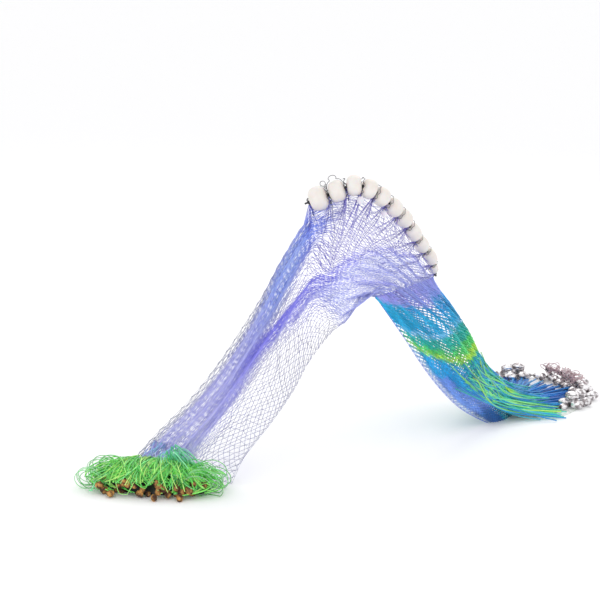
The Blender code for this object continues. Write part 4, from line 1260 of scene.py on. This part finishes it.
def tangle_places(u, v, z):
    """Points from distances along the green foot, out in front of its middle, and up."""
    middle, along, front = tangle_axes()
    points = middle + along * u[..., None] + front * v[..., None]
    points[..., 2] = z
    return points


def dome(u, v):
    """Height of the green foot's heap: a dome whose square is one less both shares to the power 2.4."""
    return TANGLE_HEIGHT * np.sqrt(np.clip(1 - np.abs(u) ** 2.4 - np.abs(v) ** 2.4, 0, 1))


class AddTangle(PieceOperator, bpy.types.Operator):
    """Heap the green foot: a bundled core under hundreds of curling loose strands"""

    bl_idname = "net.add_tangle"
    bl_label = "Green foot"

    def build(self, net, gear):
        twine = nylon_twine("Green nylon twine", None, 6 * MM, 0.36)
        heap = self.core(twine)
        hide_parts("tangle_green")
        chance = np.random.default_rng(57)
        kinds = (
            # piece, its paths, share of the loose strands, radius in mm, dyes
            ("falling_strands", self.falling, 0.50, 0.95,
             ("#7CF45E", "#AAFE7A", "#66E056", "#C8FE84", "#3EB044", "#90FA94")),
            ("sweeping_strands", self.sweeping, 0.24, 1.0,
             ("#82F664", "#ACFE7C", "#68E25A", "#C8FE88", "#90FA96")),
            ("wandering_strands", self.wandering, 0.24, 0.85, ("#7EF664", "#ACFC82", "#56CE58", "#8AF4AE")),
            ("raised_tuft", self.tuft, 0.08, 0.9, ("#62DCA0", "#7AE8B8", "#4CCB78", "#96EEC0")),
            ("end_loops", self.loops, 0.15, 0.8, ("#8CDC90", "#70D474", "#A8E4AC", "#60CC50")),
            ("lilac_ends", self.lilac_ends, 0.11, 0.9, ("#9CC0F0", "#B2C0F4", "#8ED2E8", "#A8A4EC")),
        )
        drawn = [draw(chance, int(gear.tangle_strands * part)) for _, draw, part, _, _ in kinds]
        for (name, _, _, radius, dyes), (u, v, z) in zip(kinds, drawn):
            paths = tangle_places(u, v, z)
            dye = picked_dyes(chance, dyes, len(paths), 0.75)
            paths[..., 2] = np.maximum(paths[..., 2], radius * MM)
            strands = tubes(name, paths, radius * MM, 5, twine, dye)

    def core(self, twine):
        """Rings of the heap's outline that shrink towards its top, with lumps of several sines, dyed from
        near black at the floor to dark green at the top as painted shade inside the heap.
        """
        turn = np.linspace(0, 2 * math.pi, 96, endpoint=False)[None]
        level = np.linspace(0, 1, 14)[:, None]
        size = np.sqrt(np.clip(1 - level ** 2.2, 0.02, 1))
        lumps = 1 + 0.05 * np.sin(5 * turn + 6 * level) + 0.03 * np.sin(13 * turn - 9 * level)
        u = TANGLE_HALF_LENGTH * size * lumps * np.cos(turn) * 0.96
        v = TANGLE_HALF_WIDTH * size * lumps * np.sin(turn) * 0.90
        z = 0.3 * MM + TANGLE_HEIGHT * 0.95 * (level + 0 * turn)
        # Painted shade: near black low down, so the hollow under the strands reads as shadow
        dye = blend(linear("#020A05"), linear("#145C22"), level ** 3 + 0 * turn)
        return grid_piece("green_core_painted_shade", tangle_places(u, v, z), twine, dye)

    def falling(self, chance, count):
        """Strands swept over the heap from its back: part of an ellipse's turn, swung far sideways."""
        t = np.linspace(0, 1, 28)[None]
        u0 = np.clip(chance.normal(0, 0.060, (count, 1)), -0.12, 0.12)
        loose = chance.random((count, 1)) < 0.22
        swing = np.where(loose, chance.normal(0, 0.050, (count, 1)),
                         0.75 * u0 + chance.normal(0.004, 0.016, (count, 1)))
        waves = chance.uniform(0, 6.3, (count, 3))[:, :, None]
        bow = chance.normal(0, 0.014, (count, 1))
        u = u0 + swing * (t ** 1.4 - 0.5) + bow * np.sin(math.pi * t) + 0.004 * np.sin(5 * t + waves[:, 0])
        u = np.clip(u, -0.145, 0.145)
        angle = column(chance, 0.2, 1.2, count)
        angle = angle + (column(chance, 2.2, 3.1, count) - angle) * t ** 0.9
        narrow = np.clip(1 - np.abs(u / 0.152) ** 2.6, 0.02, 1) ** 0.5
        bulge = column(chance, 0.92, 1.16, count)
        v = 0.004 - 0.066 * narrow * bulge * np.cos(angle) + 0.002 * np.sin(7 * t + waves[:, 1])
        z = 0.018 + 0.035 * narrow ** 0.7 * bulge ** 1.5 * np.sin(angle) + 0.002 * np.sin(6 * t + waves[:, 2])
        return u, v, z

    def sweeping(self, chance, count):
        """Nested long arcs: from the heap's top out to one end, round its front and in along the floor."""
        t = np.linspace(0, 1, 32)[None]
        end = np.where(chance.random((count, 1)) < 0.42, -1.0, 1.0)
        reach = column(chance, 0.045, 0.125, count)
        start = column(chance, -0.02, 0.03, count)
        turn = column(chance, 0.1, 0.5, count) + t * column(chance, 1.3, 2.2, count)
        u = end * (start + reach * np.sin(turn)) + 0.003 * np.sin(9 * t + 60 * reach)
        v = 0.030 - 0.044 * np.cos(turn) * column(chance, 0.8, 1.1, count)
        height = column(chance, 0.030, 0.052, count) * np.clip(1.25 - reach / 0.16, 0.5, 1)
        z = 0.008 + height * (1 + np.cos(turn)) / 2 + 0.005 * np.sin(turn) ** 2
        return u, v, z

    def wandering(self, chance, count):
        """Strands that curl about on top of the heap, as sums of slow sines."""
        t = np.linspace(0, 1, 32)[None]
        u0 = column(chance, -0.115, 0.115, count)
        v0 = column(chance, -0.02, 0.055, count)
        waves = chance.uniform(0, 6.3, (count, 5))[:, :, None]
        pace = chance.uniform(3, 8, (count, 4))[:, :, None]
        swing = np.sin(pace * np.array((1, 2.1, 1, 2.3))[None, :, None] * t + waves[:, :4])
        u = u0 + 0.028 * swing[:, 0] + 0.008 * swing[:, 1]
        v = v0 + 0.018 * swing[:, 2] + 0.007 * swing[:, 3]
        z = 0.006 + dome(u / 0.160, v / 0.078) * 1.12 + 0.004 * np.abs(np.sin(6 * t + waves[:, 4]))
        return u, v, z

    def tuft(self, chance, count):
        """A raised lock: strands that climb from the heap's back, turn over and fall to the side."""
        t = np.linspace(0, 1, 26)[None]
        u0 = column(chance, 0.015, 0.050, count)
        v0 = column(chance, -0.040, -0.01, count)
        bend = column(chance, 0.010, 0.070, count)
        tall = column(chance, 0.028, 0.056, count)
        u = u0 + bend * t ** 1.6 + 0.006 * np.sin(6 * t + 40 * u0)
        v = v0 + column(chance, 0.0, 0.05, count) * t
        return u, v, 0.030 + tall * np.sin(math.pi * np.clip(t, 0, 0.95)) ** 0.9

    def loops(self, chance, count):
        """Thin loops that stand out past the ends and the top of the heap and come back to it."""
        t = np.linspace(0, 1, 40)[None]
        end = np.where(chance.random((count, 1)) < 0.55, -1.0, 1.0)
        size = column(chance, 0.014, 0.034, count)
        turn = -0.7 * math.pi + t * column(chance, 1.5, 2.3, count) * math.pi
        u = end * (column(chance, 0.085, 0.132, count) + size * np.cos(turn))
        v = column(chance, -0.03, 0.045, count) + size * 0.5 * np.sin(turn * 0.7 + 9 * size)
        return u, v, column(chance, 0.016, 0.040, count) + size * 0.85 * np.sin(turn)

    def lilac_ends(self, chance, count):
        """Ends of the web's own twine, which turn down over the back of the heap."""
        t = np.linspace(0, 1, 22)[None]
        share = column(chance, 0.02, 0.42, count)
        start = lilac_surface(np.full((count, 1), 3.6), share, 2 * MM)
        middle, along, front = tangle_axes()
        u0 = np.sum((start - middle) * along, axis=-1)
        v0 = np.sum((start - middle) * front, axis=-1)
        z0 = start[..., 2]
        u = u0 + column(chance, -0.04, 0.0, count) * t + 0.004 * np.sin(9 * t + 60 * share)
        v = v0 + (column(chance, -0.01, 0.03, count) - v0) * t
        return u, v, z0 + (TANGLE_HEIGHT * column(chance, 0.9, 1.25, count) - z0) * t ** 0.8


class AddClay(PieceOperator, bpy.types.Operator):
    """Roll the clay sinkers: uneven lumps on the floor and caught up in the green strands"""

    bl_idname = "net.add_clay"
    bl_label = "Clay sinkers"

    def build(self, net, gear):
        clay = baked_clay("Baked clay", "#D49C54", "#3E1E0B")
        chance = np.random.default_rng(71)
        spots = []
        for number in range(1, 9):
            low, high = (np.array(corner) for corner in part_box(f"clay_sinker_{number:02d}"))
            spots.append(((low + high) / 2, (high - low)[2] / 2 * 1.02, f"clay_sinker_{number:02d}"))
        for u, v, z, size in CAUGHT_CLAY:
            spot = tangle_places(np.array(u * MM), np.array(v * MM), z * MM)
            spots.append((spot, size * MM / 2, None))
        for number, (spot, radius, node) in enumerate(spots, start=1):
            piece = grid_piece(f"clay_lump_{number:02d}", self.lump(spot, radius, chance, node), clay)
            if node:
                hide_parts(node)

    def lump(self, spot, radius, chance, on_floor):
        """A ball whose radius swells and dips with sines of both angles."""
        polar = np.linspace(0.06, math.pi - 0.06, 14)[:, None]
        turn = np.linspace(0, 2 * math.pi, 20, endpoint=False)[None]
        waves = chance.uniform(0, 6.3, 3)
        swell = 1 + 0.10 * np.sin(2 * turn + waves[0]) * np.sin(polar) + 0.07 * np.sin(3 * polar + waves[1])
        stretch = np.array((1.0, 1.0, 0.92)) if on_floor else chance.uniform(0.8, 1.25, 3)
        ball = np.stack([np.sin(polar) * np.cos(turn), np.sin(polar) * np.sin(turn),
                         np.cos(polar) + 0 * turn], axis=-1)
        points = spot + ball * (swell * radius)[..., None] * stretch
        points[..., 2] = np.maximum(points[..., 2], 0.0)
        return points


STAGE_WHITE = "#FEFEFF"
# The camera looks at this point from its distance, down by its pitch
SIGHT = np.array((-0.06, 0.235, 0.30)) - PLAN_MIDDLE
PITCH = math.radians(13)
HEADING = math.radians(-38)
DISTANCE = 3.9
LENS_MM = 102.1


class AddStage(bpy.types.Operator):
    """Lay the pale floor and set the lights and the camera"""

    bl_idname = "net.add_stage"
    bl_label = "Floor, lights and camera"
    bl_options = {"REGISTER", "UNDO"}

    def execute(self, context):
        scene = context.scene
        floor_mesh = bpy.data.meshes.new("floor")
        size = 30.0
        floor_mesh.from_pydata([(-size, -size, 0), (size, -size, 0), (size, size, 0), (-size, size, 0)], [],
                               [(0, 1, 2, 3)])
        material, _, shader = start_material("Matt white floor", {"Roughness": 0.9})
        shader.inputs["Base Color"].default_value = (*linear(STAGE_WHITE), 1.0)
        floor_mesh.materials.append(material)
        floor = bpy.data.objects.new("floor", floor_mesh)
        scene.collection.objects.link(floor)
        floor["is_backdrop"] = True
        world = bpy.data.worlds.new("Soft studio")
        world.use_nodes = True
        world.node_tree.nodes["Background"].inputs["Color"].default_value = (1.0, 1.0, 1.0, 1.0)
        world.node_tree.nodes["Background"].inputs["Strength"].default_value = 1.0
        scene.world = world
        for name, spot, power, size, tone in (
                ("Key light", (1.6, 1.2, 2.6), 18.0, 1.4, (1.0, 0.98, 0.95)),
                ("Fill light", (-2.4, -2.0, 2.2), 10.0, 2.4, (0.95, 0.97, 1.0))):
            light = bpy.data.lights.new(name, "AREA")
            light.energy = power
            light.size = size
            light.color = tone
            lamp = bpy.data.objects.new(name, light)
            lamp.location = spot
            lamp.rotation_euler = (Vector((0, 0, 0.25)) - Vector(spot)).to_track_quat("-Z", "Y").to_euler()
            scene.collection.objects.link(lamp)
        ahead = np.array((-math.sin(HEADING) * math.cos(PITCH), math.cos(HEADING) * math.cos(PITCH),
                          -math.sin(PITCH)))
        lens = bpy.data.cameras.new("Camera")
        lens.lens = LENS_MM
        lens.sensor_width = 36.0
        lens.clip_end = 100.0
        camera = bpy.data.objects.new("Camera", lens)
        camera.location = SIGHT - ahead * DISTANCE
        camera.rotation_euler = Vector(ahead).to_track_quat("-Z", "Y").to_euler()
        scene.collection.objects.link(camera)
        scene.camera = camera
        scene.view_settings.view_transform = "Standard"
        return {"FINISHED"}


OPERATORS = (AddLilacWeb, AddBandedWeb, AddFloats, AddSpindles, AddLines, AddLashings, AddLeads, AddFringes,
             AddTangle, AddClay, AddStage)


class NetPanel(bpy.types.Panel):
    """Sidebar panel with the net's settings and pieces"""

    bl_idname = "VIEW3D_PT_gill_net"
    bl_label = "Gill net"
    bl_space_type = "VIEW_3D"
    bl_region_type = "UI"
    bl_category = "Gill net"

    def draw(self, context):
        for settings in (context.scene.net_settings, context.scene.gear_settings):
            for name in settings.__annotations__:
                self.layout.prop(settings, name)
        for operator in OPERATORS:
            self.layout.operator(operator.bl_idname)


CLASSES = (NetSettings, GearSettings, *OPERATORS, NetPanel)


def register():
    """Add the settings, operators and panel to Blender."""
    for item in CLASSES:
        bpy.utils.register_class(item)
    bpy.types.Scene.net_settings = bpy.props.PointerProperty(type=NetSettings)
    bpy.types.Scene.gear_settings = bpy.props.PointerProperty(type=GearSettings)


def unregister():
    """Take them away again."""
    del bpy.types.Scene.gear_settings
    del bpy.types.Scene.net_settings
    for item in reversed(CLASSES):
        bpy.utils.unregister_class(item)


def main():
    """Build every piece and the stage."""
    register()
    for operator in OPERATORS:
        group, name = operator.bl_idname.split(".")
        getattr(getattr(bpy.ops, group), name)()


if __name__ == "__main__":
    main()
